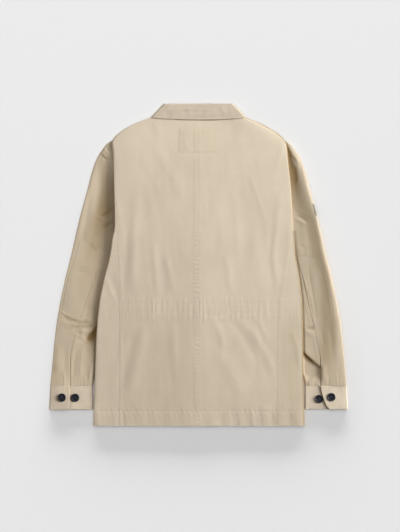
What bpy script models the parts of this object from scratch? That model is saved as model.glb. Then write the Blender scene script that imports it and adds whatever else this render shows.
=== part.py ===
"""Safari jacket laid out flat with its back up.

The floor is z = 0. +Y runs from hem to collar, +X to the right seen from above, and the origin
is the middle of the jacket's outline on the floor. Tables and sizes are in millimetres, turned
into metres where a mesh is made. Each cloth piece is a grid of points on its outer face, read
from the tables row by row, with Solidify giving its thickness inwards.
"""
import math
from collections import namedtuple

import bmesh
import bpy
from mathutils import Vector

MM = 0.001

# Driving sizes
CLOTH = 1.2            # one ply of twill
HEM_PLIES = 2.0        # the turned-up hem
CUFF_PLIES = 2.0
COLLAR_PLIES = 1.6
TRIM_PLY = 0.8         # inside tape, label patch and badge
SEAM_GAP = 0.3
CENTRE_SEAM_X = 2.45
COLLAR_TOP_Y = 393.8
NECK_SEAM_Y = 359.0
NECK_POINT_Y = 292.2   # where the neck opening ends at the front
UNDERARM_Y = 80.0
HEM_Y = -393.8
HEM_STITCH_Y = -359.0
CUFF_SEAM_Y = -296.0
VENT_TOP_Y = -213.0

# Heights of outer faces above the floor
BACK_LEVEL = 6.0
BACK_RIDGE = 2.3       # the back rides over the front placket
COLLAR_LIFT = 0.9      # and, below its neck seam, over the collar's front
SLEEVE_CREST = 5.6
SLEEVE_TUCKED = 4.9
SLEEVE_VALLEY = 4.2
NECK_LEVEL = 2.9       # lower face of the fronts over the collar
PLACKET_LEVEL = 2.7    # lower face of the outer placket, over its buttons
PLACKET_STEP = 1.5     # from the outer placket up to the inner one
COLLAR_AXIS_Z = 4.5
SIDE_SEAM_REACH = 56.0  # front side seam, in from the side fold

# Body outline: half widths left and right of the middle, from the neck to the hem
Outline = namedtuple("Outline", "y left right")
BODY_EDGE = [
    Outline(359.0, 119.0, 117.0),
    Outline(354.0, 136.0, 133.0),
    Outline(347.0, 154.0, 151.0),
    Outline(337.0, 174.0, 168.0),
    Outline(326.0, 191.0, 188.0),
    Outline(312.0, 206.0, 206.0),
    Outline(301.0, 215.0, 214.0),
    Outline(281.0, 210.7, 216.5),
    Outline(262.0, 208.8, 218.2),
    Outline(183.0, 205.6, 226.8),
    Outline(122.0, 204.4, 230.3),
    Outline(90.0, 204.0, 231.7),
    Outline(73.0, 209.5, 232.6),
    Outline(19.0, 217.0, 237.4),
    Outline(-13.0, 226.0, 243.0),
    Outline(-84.0, 241.3, 252.3),
    Outline(-152.0, 248.7, 254.8),
    Outline(-292.0, 254.4, 256.6),
    Outline(-393.8, 258.0, 260.0),
]

# Side-back seam, from the underarm to the hem
SIDE_SEAM = [
    Outline(80.0, 200.0, 227.0),
    Outline(50.0, 199.5, 225.0),
    Outline(16.0, 196.5, 221.5),
    Outline(-62.0, 193.8, 209.5),
    Outline(-130.0, 193.6, 203.0),
    Outline(-393.8, 194.8, 202.1),
]

# Elbow seam, from where it hides under the body down to the cuff's vent
ELBOW_SEAM = [
    Outline(80.0, 192.0, 219.0),
    Outline(51.0, 208.0, 229.0),
    Outline(21.0, 236.0, 238.5),
    Outline(-10.0, 250.0, 248.0),
    Outline(-50.0, 262.0, 259.5),
    Outline(-100.0, 280.0, 269.5),
    Outline(-155.0, 298.0, 282.5),
    Outline(-213.0, 312.0, 295.0),
    Outline(-240.0, 314.8, 298.8),
    Outline(-296.0, 314.8, 299.0),
]

# Free end of each cuff's overlap, with its rounded corner
CUFF_END = [
    Outline(-296.3, 314.8, 299.0),
    Outline(-309.0, 314.8, 300.5),
    Outline(-320.0, 314.8, 303.2),
    Outline(-338.0, 315.2, 309.6),
    Outline(-347.0, 318.5, 314.0),
    Outline(-354.6, 328.0, 321.0),
]

# Sleeve: outer fold, how far the inner fold is tucked under the body, and the forearm seam as
# a share of the way from the body's edge to the outer fold
Sleeve = namedtuple("Sleeve", "y edge tuck forearm")
SLEEVE = [
    Sleeve(294.0, 226.0, 0.0, 0.0),
    Sleeve(286.0, 232.0, 0.0, 0.0),
    Sleeve(276.0, 240.0, 0.0, 0.0),
    Sleeve(266.0, 246.2, 0.0, 0.0),
    Sleeve(250.0, 253.5, 0.0, 0.0),
    Sleeve(227.0, 261.0, 0.0, 0.0),
    Sleeve(183.0, 272.0, 0.0, 0.0),
    Sleeve(124.0, 288.5, 0.0, 0.0),
    Sleeve(80.0, 299.0, 36.0, 0.0),
    Sleeve(51.0, 305.5, 36.0, 0.22),
    Sleeve(21.0, 312.4, 36.0, 0.35),
    Sleeve(-37.0, 327.0, 33.0, 0.50),
    Sleeve(-96.0, 339.3, 28.0, 0.56),
    Sleeve(-155.0, 348.8, 22.0, 0.57),
    Sleeve(-213.0, 355.0, 12.0, 0.56),
    Sleeve(-250.0, 358.2, 3.0, 0.53),
    Sleeve(-272.0, 360.2, -2.5, 0.51),
    Sleeve(-296.0, 362.5, -4.0, 0.50),
    Sleeve(-354.6, 365.8, -4.0, 0.50),
]

# Elbow patches: heights of the top and bottom edges at the elbow seam and at the outer edge,
# and how far the outer edge lies in from the sleeve's outer fold
Patch = namedtuple("Patch", "top_inner top_outer bottom_inner bottom_outer inset")
ELBOW_PATCH = {-1: Patch(31.0, 58.0, -140.0, -106.0, 9.0),
               1: Patch(34.0, 2.0, -155.0, -124.0, 14.5)}

# Crease across the lower end of each undersleeve
Crease = namedtuple("Crease", "start end height")
SLEEVE_CREASES = {-1: Crease((254.0, -160.0), (300.0, -150.0), 1.2),
                  1: Crease((258.0, -208.0), (297.0, -240.0), 2.0)}

# Height of the back's edge, and of the lower face of the side fold
Level = namedtuple("Level", "y top under")
EDGE_LEVEL = [
    Level(359.0, 5.7, 0.0),
    Level(312.0, 5.8, 0.0),
    Level(301.0, 6.2, 0.0),
    Level(290.0, 7.6, 0.0),
    Level(275.0, 8.8, 0.0),
    Level(90.0, 8.8, 0.0),
    Level(80.0, 9.8, 5.4),
    Level(60.0, 11.0, 5.4),
    Level(-250.0, 11.0, 5.4),
    Level(-275.0, 10.2, 4.6),
    Level(-310.0, 8.0, 2.4),
    Level(-340.0, 6.4, 0.6),
    Level(-359.0, 6.0, 0.0),
    Level(-393.8, 6.0, 0.0),
]

# Half width of the neck opening at the front
Neck = namedtuple("Neck", "y half")
NECKLINE = [
    Neck(359.0, 115.0),
    Neck(350.0, 100.0),
    Neck(335.0, 82.0),
    Neck(320.0, 66.0),
    Neck(305.0, 46.0),
    Neck(297.0, 30.0),
    Neck(292.4, 20.0),
]

# Collar: the roll line and the free edge of the leaf, and the neck seam of the stand, for the
# right half from the back's middle to the front
CollarStation = namedtuple("CollarStation", "turn roll_x roll_y leaf_x leaf_y neck_x neck_y")
COLLAR_BACK = [
    CollarStation(90, 0.0, 393.8, 0.0, 354.0, 0.0, 359.4),
    CollarStation(90, 25.0, 393.8, 34.0, 354.4, 33.0, 359.4),
    CollarStation(90, 50.0, 393.8, 68.0, 355.8, 66.0, 359.4),
    CollarStation(90, 70.0, 393.6, 96.0, 357.2, 93.0, 359.4),
]
COLLAR_SIDE = CollarStation(0, 80.8, 389.6, 113.4, 358.7, 110.2, 361.8)
COLLAR_FRONT = [
    CollarStation(-90, 57.0, 366.0, 103.0, 322.0, 83.0, 337.0),
    CollarStation(-90, 32.0, 340.0, 86.0, 290.0, 57.5, 314.5),
    CollarStation(-90, 8.0, 312.0, 66.0, 266.0, 9.0, 293.0),
]
COLLAR_TURNS = (90, 54, 18, -18, -54, -90)
LEAF_RADIUS = 4.5
ROLL_RADIUS = 2.05
STAND_START = 6.0      # from the roll line to the seam between leaf and stand
STAND_DEPTH = 4.1      # from the leaf's outer face to the stand's neck face

# Buttons
BUTTON_DIAMETER = 20.4
BUTTON_HEIGHT = 2.4
HOLE_CIRCLE = 2.3
HOLE_DIAMETER = 1.7
CuffButton = namedtuple("CuffButton", "name side reach y on_overlap")
CUFF_BUTTONS = [
    CuffButton("cuff_left_button_overlap", -1, 334.0, -324.5, True),
    CuffButton("cuff_left_button_spare", -1, 301.6, -325.2, False),
    CuffButton("cuff_right_button_overlap", 1, 324.6, -323.5, True),
    CuffButton("cuff_right_button_spare", 1, 295.0, -328.4, False),
]
FRONT_BUTTON_TOP_Y = 262.0
FRONT_BUTTON_PITCH = 110.0
FRONT_BUTTON_COUNT = 5
LAST_BUTTON_Y = FRONT_BUTTON_TOP_Y - FRONT_BUTTON_PITCH * (FRONT_BUTTON_COUNT - 1)

# Inside tape and patch, elbow patches, badge
CASING_TOP_Y = -82.0
CASING_BOTTOM_Y = -133.5
LABEL_PATCH = (-50.0, 50.0, 271.5, 336.5)   # x from, x to, y from, y to
PATCH_FROM_SEAM = 4.0
BADGE_TOP_Y = 148.0
BADGE_BOTTOM_Y = 120.0

ARC_STEPS = 4
SIDES = {-1: "left", 1: "right"}

TWILL = ("cotton_twill", (0.62, 0.52, 0.39), 0.85)
HORN = ("button_horn", (0.012, 0.014, 0.02), 0.35)
BADGE = ("badge_cloth", (0.30, 0.27, 0.20), 0.8)


# ------------------------------------------------------------------ curves through the tables

def smooth(t):
    """0 before 0, 1 after 1, with level ends."""
    t = min(max(t, 0.0), 1.0)
    return t * t * (3.0 - 2.0 * t)


def along(table, column, y):
    """One column of a table at height y, on a curve that never overshoots its rows."""
    ys = [row.y for row in table]
    values = [getattr(row, column) for row in table]
    if y >= ys[0]:
        return values[0]
    if y <= ys[-1]:
        return values[-1]
    i = next(k for k in range(len(ys) - 1) if ys[k + 1] <= y)

    def slope(k):
        if k <= 0 or k >= len(ys) - 1:
            return 0.0
        before = (values[k] - values[k - 1]) / (ys[k] - ys[k - 1])
        after = (values[k + 1] - values[k]) / (ys[k + 1] - ys[k])
        if before * after <= 0.0:
            return 0.0
        return 2.0 * before * after / (before + after)

    step = ys[i + 1] - ys[i]
    t = (y - ys[i]) / step
    start = slope(i) if i > 0 else (values[1] - values[0]) / (ys[1] - ys[0])
    end = slope(i + 1) if i + 2 < len(ys) else (values[-1] - values[-2]) / (ys[-1] - ys[-2])
    return ((2 * t**3 - 3 * t**2 + 1) * values[i] + (t**3 - 2 * t**2 + t) * step * start
            + (3 * t**2 - 2 * t**3) * values[i + 1] + (t**3 - t**2) * step * end)


def body_edge(side, y):
    return along(BODY_EDGE, SIDES[side], y)


def side_seam(side, y):
    return along(SIDE_SEAM, SIDES[side], y)


def elbow_seam(side, y):
    return along(ELBOW_SEAM, SIDES[side], y)


def sleeve_edge(y):
    return along(SLEEVE, "edge", y)


def sleeve_inner(side, y):
    """Inner fold of the sleeve, tucked under the body above the cuff."""
    return body_edge(side, y) - along(SLEEVE, "tuck", y)


def forearm_seam(side, y):
    edge = body_edge(side, y)
    return edge + along(SLEEVE, "forearm", y) * (sleeve_edge(y) - edge)


# ------------------------------------------------------------------ heights of the outer faces

def back_top(x, y):
    """Top face of the back: level, raised over the placket, the collar and its edges."""
    side = 1 if x >= 0 else -1
    reach = abs(x)
    edge = body_edge(side, y)
    ridge = BACK_RIDGE * (1.0 - smooth((y - 295.0) / 50.0))
    ridge *= 1.0 - 0.5 * smooth((-200.0 - y) / 40.0)
    ridge *= 1.0 - smooth((abs(x - CENTRE_SEAM_X) - 28.0) / 45.0)
    over_collar = COLLAR_LIFT * smooth((y - 250.0) / 20.0) * (1.0 - smooth((y - 338.0) / 18.0))
    over_collar *= 1.0 - smooth((reach - 56.0) / 34.0)
    middle = BACK_LEVEL + max(ridge, over_collar)
    blend = min(55.0 + 0.6 * along(SLEEVE, "tuck", y), 0.4 * edge)
    share = smooth((reach - (edge - blend)) / (blend - 6.0))
    return middle + (along(EDGE_LEVEL, "top", y) - middle) * share


def front_under(x, y, inner_placket):
    """Lower face of a front: on the floor, raised over the collar and the placket's buttons."""
    chest = smooth((y - 225.0) / 22.0)
    across = max(1.0 - smooth((abs(x) - 150.0) / 35.0), smooth((y - 283.0) / 15.0))
    neck = NECK_LEVEL * chest * across
    buttoned = 1.0 - smooth((LAST_BUTTON_Y - 16.0 - y) / 40.0)
    outer_band = PLACKET_LEVEL * buttoned + (NECK_LEVEL - PLACKET_LEVEL) * chest
    if inner_placket:
        step = PLACKET_STEP + (HEM_PLIES - CLOTH) * smooth((-334.0 - y) / 6.0)
        band = (outer_band + step) * smooth((40.0 - x) / 18.0)
    else:
        band = outer_band * smooth((x + 36.0) / 14.0)
    return max(neck, band)


def side_under(side, reach, y):
    """Lower face of a side panel: over the tucked sleeve, then down to the floor."""
    under = along(EDGE_LEVEL, "under", y)
    tuck = max(along(SLEEVE, "tuck", y), 2.0)
    return under * smooth((reach - (body_edge(side, y) - tuck - 17.0)) / 16.0)


def distance_to_line(point, start, end):
    """Distance from a point to a stretch of line, and how far along it the nearest point is."""
    line = end - start
    share = min(max((point - start).dot(line) / line.length_squared, 0.0), 1.0)
    return (point - start - line * share).length, share


def sleeve_top(side, reach, y):
    """Top face of a sleeve: crest along its outer side, lower where it passes under the body."""
    edge = body_edge(side, y)
    width = sleeve_edge(y) - edge
    low = SLEEVE_VALLEY if y > UNDERARM_Y + 4.0 else SLEEVE_TUCKED
    top = low + (SLEEVE_CREST - low) * smooth((reach - edge - 0.25 * width) / (0.35 * width))
    if y > UNDERARM_Y + 4.0:
        rim = along(EDGE_LEVEL, "top", y) - CLOTH - SEAM_GAP - 0.2
        top += (rim - SLEEVE_VALLEY) * smooth((edge + 10.0 - reach) / 20.0)
    crease = SLEEVE_CREASES[side]
    start, end = Vector(crease.start), Vector(crease.end)
    away, share = distance_to_line(Vector((reach, y)), start, end)
    free = smooth((reach - edge) / 12.0) * (1.0 - smooth((share - 0.5) / 0.4))
    return top + crease.height * free * math.exp(-(away / 10.0) ** 2)


# ------------------------------------------------------------------ making pieces

def material(spec):
    name, colour, roughness = spec
    made = bpy.data.materials.get(name)
    if made is None:
        made = bpy.data.materials.new(name)
        made.use_nodes = True
        shader = made.node_tree.nodes["Principled BSDF"]
        shader.inputs["Base Color"].default_value = (*colour, 1.0)
        shader.inputs["Roughness"].default_value = roughness
        shader.inputs["Metallic"].default_value = 0.0
    return made


def add_object(name, mesh, spec):
    mesh.materials.append(material(spec))
    piece = bpy.data.objects.new(name, mesh)
    bpy.context.scene.collection.objects.link(piece)
    return piece


def sheet(name, rows, thickness, first_faces, spec=TWILL, plies=None):
    """A cloth piece: rows of points on its outer face, thickened inwards.

    first_faces is the z direction that the outer face has at the first point of the first row.
    plies gives each row's share of the thickness, where it changes."""
    across, down = len(rows[0]), len(rows)
    bm = bmesh.new()
    made = bmesh.ops.create_grid(bm, x_segments=across - 1, y_segments=down - 1, size=1.0)
    ordered = sorted(made["verts"], key=lambda v: (-round(v.co.y, 5), v.co.x))
    for index, vert in enumerate(ordered):
        vert.co = Vector(rows[index // across][index % across]) * MM
    bm.normal_update()
    if ordered[0].normal.z * first_faces < 0.0:
        bmesh.ops.reverse_faces(bm, faces=bm.faces)
    bm.verts.index_update()
    order = [vert.index for vert in ordered]
    mesh = bpy.data.meshes.new(name)
    bm.to_mesh(mesh)
    bm.free()
    mesh.shade_smooth()
    mesh.set_sharp_from_angle(angle=math.radians(40.0))
    piece = add_object(name, mesh, spec)
    wall = piece.modifiers.new("wall", "SOLIDIFY")
    wall.thickness = thickness * MM
    wall.offset = -1.0
    if plies:
        group = piece.vertex_groups.new(name="plies")
        for row, share in enumerate(plies):
            group.add(order[row * across:(row + 1) * across], share, "REPLACE")
        wall.vertex_group = group.name
    return piece


def spread(start, end, count):
    """count numbers evenly from start to end, both included."""
    return [start + (end - start) * k / (count - 1) for k in range(count)]


def fold(reach, top, bottom, outwards):
    """Half a turn of cloth at a fold, from the top face to the bottom face.

    reach is the fold's outermost line; outwards is +1 where the fold bulges away from the
    middle of the jacket and -1 where it bulges towards it."""
    radius = (top - bottom) / 2.0
    points = []
    for step in range(1, ARC_STEPS):
        angle = math.pi / 2.0 - math.pi * step / ARC_STEPS
        points.append((reach - outwards * radius * (1.0 - math.cos(angle)),
                       bottom + radius + radius * math.sin(angle)))
    return points


def row_points(side, y, section):
    """Points of one row from a section's (reach, height) pairs."""
    return [(side * reach, y, height) for reach, height in section]


# ------------------------------------------------------------------ body

SHOULDER_YS = [NECK_SEAM_Y, 351, 338, 324, 310]
ARMHOLE_YS = [286, 275, 262, 248, 225, 183, 122, 90]
LOWER_YS = [UNDERARM_Y, 62, 38, 12, -30, CASING_TOP_Y, CASING_BOTTOM_Y, -190, -250, -280, -310,
            -340, HEM_STITCH_Y, HEM_Y]


def back_reaches(side, y):
    """Where the back's columns of points lie in a row, from the centre seam outwards."""
    middle = side * CENTRE_SEAM_X + SEAM_GAP / 2.0
    if y > UNDERARM_Y:
        outer = body_edge(side, y)
    else:
        outer = side_seam(side, y) - SEAM_GAP / 2.0
    return [middle + (outer - middle) * share
            for share in (0.0, 0.14, 0.30, 0.48, 0.64, 0.79, 0.91, 1.0)]


def build_back(side):
    ys = SHOULDER_YS + [298] + ARMHOLE_YS + LOWER_YS
    rows = [[(side * reach, y, back_top(side * reach, y)) for reach in back_reaches(side, y)]
            for y in ys]
    plies = [CLOTH / HEM_PLIES if y > HEM_STITCH_Y else 1.0 for y in ys]
    sheet("back_" + SIDES[side], rows, HEM_PLIES, 1, plies=plies)


def side_reaches(side, y):
    """Columns of the side panel's top, from the side-back seam to the start of its fold."""
    radius = (along(EDGE_LEVEL, "top", y) - along(EDGE_LEVEL, "under", y)) / 2.0
    return spread(side_seam(side, y) + SEAM_GAP / 2.0, body_edge(side, y) - radius, 3)


def build_side(side):
    """Side panel: from the side-back seam round the side fold to the front's side seam."""
    rows = []
    for y in LOWER_YS:
        edge = body_edge(side, y)
        top = along(EDGE_LEVEL, "top", y)
        under = along(EDGE_LEVEL, "under", y)
        radius = (top - under) / 2.0
        section = [(reach, back_top(side * reach, y)) for reach in side_reaches(side, y)]
        section += fold(edge, top, under, 1)
        tuck = max(along(SLEEVE, "tuck", y), 2.0)
        drop = min(edge - tuck - 1.0, edge - radius - 1.0)
        lower = [edge - radius] + spread(drop, drop - 16.0, 4) + [edge - SIDE_SEAM_REACH]
        section += [(reach, side_under(side, reach, y)) for reach in lower]
        rows.append(row_points(side, y, section))
    plies = [CLOTH / HEM_PLIES if y > HEM_STITCH_Y else 1.0 for y in LOWER_YS]
    sheet("side_" + SIDES[side], rows, HEM_PLIES, 1, plies=plies)


def build_front(side):
    """A front, outer face down. The left one laps under the right one along the placket."""
    inner = side > 0
    overlap = -20.0 * side
    ys = SHOULDER_YS + [298, NECK_POINT_Y + 0.2, NECK_POINT_Y - 0.2]
    ys += ARMHOLE_YS + [UNDERARM_Y + 2.0 * SEAM_GAP, UNDERARM_Y + SEAM_GAP] + LOWER_YS
    steps = (40.0, 34.0, 28.0, 22.0) if inner else (36.0, 31.0, 27.0, 22.0)
    rows = []
    for y in ys:
        outer = body_edge(side, y)
        if y <= UNDERARM_Y + SEAM_GAP:
            outer -= SIDE_SEAM_REACH + SEAM_GAP
        if y > NECK_POINT_Y:
            neck = along(NECKLINE, "half", y)
            squeeze = min(0.25, 0.4 * (outer - neck) / steps[0])
            inward = [neck + squeeze * step for step in steps] + [neck]
        else:
            inward = list(steps) + [side * overlap]
        outward = [outer + (inward[0] - outer) * share for share in (0.0, 0.22, 0.55)]
        reaches = outward + inward
        rows.append([(side * reach, y, front_under(side * reach, y, inner))
                     for reach in reaches])
    plies = [CLOTH / HEM_PLIES if y > HEM_STITCH_Y else 1.0 for y in ys]
    sheet("front_" + SIDES[side], rows, HEM_PLIES, -1, plies=plies)


def build_casing():
    """Drawstring casing: a tape inside the back, from one side fold to the other."""
    rows = []
    for y in (CASING_TOP_Y, CASING_BOTTOM_Y):
        xs = []
        for side in SIDES:
            reaches = back_reaches(side, y) + side_reaches(side, y)[1:]
            reaches[-1] -= 1.0
            xs += [side * reach for reach in reaches]
        rows.append([(x, y, back_top(x, y) - CLOTH - SEAM_GAP) for x in sorted(xs)])
    sheet("waist_casing", rows, TRIM_PLY, 1)


def build_label_patch():
    """Plain patch inside the back of the neck, whose stitching shows outside."""
    x_from, x_to, y_from, y_to = LABEL_PATCH
    rows = [[(x, y, back_top(x, y) - CLOTH - SEAM_GAP) for x in spread(x_from, x_to, 9)]
            for y in spread(y_to, y_from, 5)]
    sheet("neck_patch", rows, TRIM_PLY, 1)


# ------------------------------------------------------------------ sleeves

SLEEVE_YS = [294.0] + ARMHOLE_YS
SLEEVE_YS += [UNDERARM_Y, 51, 21, -37, -96, -135, -158, -180, -204, -222, -242, CUFF_SEAM_Y]


def outer_half(side, y, start, count):
    """Top of the outer half of a sleeve from reach start, and its outer fold."""
    edge = sleeve_edge(y)
    crest = sleeve_top(side, edge - SLEEVE_CREST / 2.0, y)
    section = [(reach, sleeve_top(side, reach, y))
               for reach in spread(start, edge - crest / 2.0, count)]
    return section, fold(edge, crest, 0.0, 1), edge - crest / 2.0


def vent_gap(y):
    """Gap between the two halves of the sleeve at the elbow seam: wider in the cuff's vent."""
    return SEAM_GAP + 1.2 * smooth((VENT_TOP_Y - y) / 30.0)


def build_topsleeve(side):
    """Topsleeve: from the elbow seam over the outer fold to the forearm seam underneath."""
    rows = []
    for y in SLEEVE_YS:
        if y > UNDERARM_Y:
            start = body_edge(side, y) - 12.0
            under_end = body_edge(side, y) + SEAM_GAP
        else:
            start = elbow_seam(side, y) + vent_gap(y) / 2.0
            under_end = forearm_seam(side, y) + SEAM_GAP
        section, turn, foot = outer_half(side, y, start, 5)
        section += turn
        section += [(reach, 0.0) for reach in spread(foot, under_end, 3)]
        rows.append(row_points(side, y, section))
    sheet("topsleeve_" + SIDES[side], rows, CLOTH, 1)


def build_undersleeve(side):
    """Undersleeve: from the elbow seam inwards, round the tucked fold to the forearm seam."""
    ys = [UNDERARM_Y - 0.4] + [y for y in SLEEVE_YS if y < UNDERARM_Y]
    rows = []
    for y in ys:
        inner = sleeve_inner(side, y)
        start = elbow_seam(side, y) - vent_gap(y) / 2.0
        top = sleeve_top(side, inner + SLEEVE_TUCKED / 2.0, y)
        radius = top / 2.0
        section = [(reach, sleeve_top(side, reach, y))
                   for reach in spread(start, inner + radius, 4)]
        section += fold(inner, top, 0.0, -1)
        section += [(reach, 0.0) for reach in spread(inner + radius, forearm_seam(side, y), 3)]
        rows.append(row_points(side, y, section))
    sheet("undersleeve_" + SIDES[side], rows, CLOTH, 1)


def build_elbow_patch(side):
    """Elbow patch: the topsleeve's own points, moved out by the patch's thickness."""
    patch = ELBOW_PATCH[side]
    rows = []
    for down in spread(0.0, 1.0, 9):
        row = []
        for across in spread(0.0, 1.0, 7):
            top = patch.top_inner + (patch.top_outer - patch.top_inner) * across
            bottom = patch.bottom_inner + (patch.bottom_outer - patch.bottom_inner) * across**2
            y = top + (bottom - top) * down
            inner = max(elbow_seam(side, y) + PATCH_FROM_SEAM, body_edge(side, y) + 2.0)
            reach = inner + (sleeve_edge(y) - patch.inset - inner) * across
            height = sleeve_top(side, reach, y) + TRIM_PLY + SEAM_GAP + 0.1
            row.append((side * reach, y, height))
        rows.append(row)
    sheet("elbow_patch_" + SIDES[side], rows, TRIM_PLY, 1)


def build_vent(side):
    """Underlap that closes the vent above the cuff from beneath."""
    rows = []
    for y in (VENT_TOP_Y + 3.0, -222.0, -242.0, CUFF_SEAM_Y):
        reaches = spread(elbow_seam(side, y) - 10.0, elbow_seam(side, y) + 12.0, 3)
        lowest = min(sleeve_top(side, reach, y) for reach in reaches)
        rows.append([(side * reach, y, lowest - CLOTH - 2.0 * SEAM_GAP) for reach in reaches])
    sheet("vent_underlap_" + SIDES[side], rows, TRIM_PLY, 1)


CUFF_INNER_TOP = 5.2
CUFF_OVERLAP_TOP = CUFF_INNER_TOP + SEAM_GAP + CUFF_PLIES
CUFF_HEM_Y = {-1: -354.6, 1: -353.4}


def build_cuff(side):
    """Cuff: one strip from its overlapping end round the wrist to the end underneath it."""
    rows = []
    for share in (0.0, 0.25, 0.5, 0.7, 0.87, 1.0):
        top_y = CUFF_SEAM_Y - SEAM_GAP
        y = top_y + (CUFF_HEM_Y[side] - top_y) * share
        outer = sleeve_edge(y)
        inner = 258.5 if side < 0 else 260.2
        free_end = along(CUFF_END, SIDES[side], y)
        outer_radius = CUFF_OVERLAP_TOP / 2.0
        inner_radius = CUFF_INNER_TOP / 2.0
        section = [(reach, CUFF_OVERLAP_TOP) for reach in spread(free_end, outer - outer_radius, 4)]
        section += fold(outer, CUFF_OVERLAP_TOP, 0.0, 1)
        section += [(reach, 0.0)
                    for reach in spread(outer - outer_radius, inner + inner_radius, 4)]
        section += fold(inner, CUFF_INNER_TOP, 0.0, -1)[::-1]
        section += [(reach, CUFF_INNER_TOP) for reach in spread(inner + inner_radius, 342.0, 4)]
        rows.append(row_points(side, y, section))
    sheet("cuff_" + SIDES[side], rows, CUFF_PLIES, 1)


def build_badge():
    """Small plain patch sewn on the outer side of the right sleeve."""
    lift = TRIM_PLY + SEAM_GAP
    rows = []
    for y in spread(BADGE_TOP_Y, BADGE_BOTTOM_Y, 4):
        edge = sleeve_edge(y)
        radius = SLEEVE_CREST / 2.0
        section = [(edge - radius - 3.0, SLEEVE_CREST + lift), (edge - radius, SLEEVE_CREST + lift)]
        for angle in (54.0, 18.0, -12.0):
            turn = math.radians(angle)
            section.append((edge - radius + (radius + lift) * math.cos(turn),
                            radius + (radius + lift) * math.sin(turn)))
        rows.append(row_points(1, y, section))
    sheet("sleeve_badge", rows, TRIM_PLY, 1, BADGE)


# ------------------------------------------------------------------ collar

def collar_stations():
    """Stations of the whole collar, from the left front round the back to the right front."""
    half = COLLAR_BACK + [COLLAR_SIDE._replace(turn=turn) for turn in COLLAR_TURNS]
    half += COLLAR_FRONT
    left = [(-1, station) for station in reversed(half[1:])]
    return left + [(1, station) for station in half]


def collar_row(side, station, path):
    """Points of one station across the collar.

    path holds (distance in from the roll line, share of the way on to the leaf's free edge or
    to the neck seam, which of the two, depth below the leaf's outer face)."""
    turn = math.radians(station.turn)
    roll = Vector((station.roll_x, station.roll_y))
    ends = {"leaf": Vector((station.leaf_x, station.leaf_y)),
            "neck": Vector((station.neck_x, station.neck_y))}
    inwards = (ends["leaf"] - roll).normalized()
    slant = Vector((COLLAR_SIDE.leaf_x - COLLAR_SIDE.roll_x, COLLAR_SIDE.leaf_y - COLLAR_SIDE.roll_y))
    slant.normalize()
    normal = Vector((-slant.y * math.cos(turn), slant.x * math.cos(turn), math.sin(turn)))
    points = []
    for start, share, end, depth in path:
        flat = roll + inwards * start
        flat += (ends[end] - flat) * share
        place = Vector((flat.x, flat.y, COLLAR_AXIS_Z)) + normal * (LEAF_RADIUS - depth)
        points.append((side * place.x, place.y, place.z))
    return points


def build_collar_leaf():
    """Leaf of the collar: from its free edge over the roll to the seam with the stand."""
    path = [(0.0, share, "leaf", 0.0) for share in (1.0, 0.55, 0.16)]
    for angle in (90, 150, 210, 270):
        turn = math.radians(angle)
        path.append((ROLL_RADIUS * (1.0 + math.cos(turn)), 0.0, "leaf",
                     ROLL_RADIUS * (1.0 - math.sin(turn))))
    path.append((STAND_START, 0.0, "leaf", STAND_DEPTH))
    rows = [collar_row(side, station, path) for side, station in collar_stations()]
    sheet("collar_leaf", rows, COLLAR_PLIES, -1)


def build_collar_stand():
    """Stand of the collar: from the leaf's seam to the neck seam.

    The stations near the corners cross the seam at a slant, so it takes a longer step there."""
    start = STAND_START + 1.5 * SEAM_GAP
    path = [(start, share, "neck", STAND_DEPTH) for share in (0.0, 0.5, 1.0)]
    rows = [collar_row(side, station, path) for side, station in collar_stations()]
    sheet("collar_stand", rows, CLOTH, 1)


# ------------------------------------------------------------------ buttons

def button_mesh():
    """Four-hole button, turned from its profile, face up, with its back at z = 0."""
    radius = BUTTON_DIAMETER / 2.0
    profile = [(0.0, 0.0), (radius - 1.6, 0.0), (radius, 0.8), (radius, 1.7),
               (radius - 0.8, BUTTON_HEIGHT), (radius - 2.6, BUTTON_HEIGHT - 0.1),
               (radius - 3.6, 1.6), (0.0, 1.6)]
    bm = bmesh.new()
    verts = [bm.verts.new((r * MM, 0.0, z * MM)) for r, z in profile]
    edges = [bm.edges.new(pair) for pair in zip(verts, verts[1:])]
    bmesh.ops.spin(bm, geom=verts + edges, cent=(0, 0, 0), axis=(0, 0, 1), dvec=(0, 0, 0),
                   angle=math.tau, steps=16, use_merge=True, use_duplicate=False)
    bmesh.ops.remove_doubles(bm, verts=bm.verts, dist=1e-6)
    bmesh.ops.recalc_face_normals(bm, faces=bm.faces)
    mesh = bpy.data.meshes.new("button")
    bm.to_mesh(mesh)
    bm.free()
    mesh.shade_smooth()
    mesh.set_sharp_from_angle(angle=math.radians(40.0))
    return mesh


def hole_cutter():
    """The button's four thread holes, as one hidden cutter."""
    bm = bmesh.new()
    for quarter in range(4):
        turn = math.radians(45.0 + 90.0 * quarter)
        made = bmesh.ops.create_cone(bm, cap_ends=True, segments=6, radius1=HOLE_DIAMETER / 2.0 * MM,
                                     radius2=HOLE_DIAMETER / 2.0 * MM, depth=6.0 * MM)
        shift = Vector((math.cos(turn), math.sin(turn), 0.0)) * HOLE_CIRCLE * MM
        bmesh.ops.translate(bm, verts=made["verts"], vec=shift)
    mesh = bpy.data.meshes.new("thread_holes")
    bm.to_mesh(mesh)
    bm.free()
    return mesh


def add_button(name, mesh, cutter_mesh, place, face_up):
    button = add_object(name, mesh, HORN) if not mesh.materials else None
    if button is None:
        button = bpy.data.objects.new(name, mesh)
        bpy.context.scene.collection.objects.link(button)
    cutter = bpy.data.objects.new(name + "_cutter", cutter_mesh)
    bpy.context.scene.collection.objects.link(cutter)
    for item in (button, cutter):
        item.location = Vector(place) * MM
        item.rotation_euler = (0.0, 0.0 if face_up else math.pi, 0.0)
    cutter.hide_render = True
    cutter.display_type = "WIRE"
    cut = button.modifiers.new("holes", "BOOLEAN")
    cut.operation = "DIFFERENCE"
    cut.object = cutter


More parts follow.
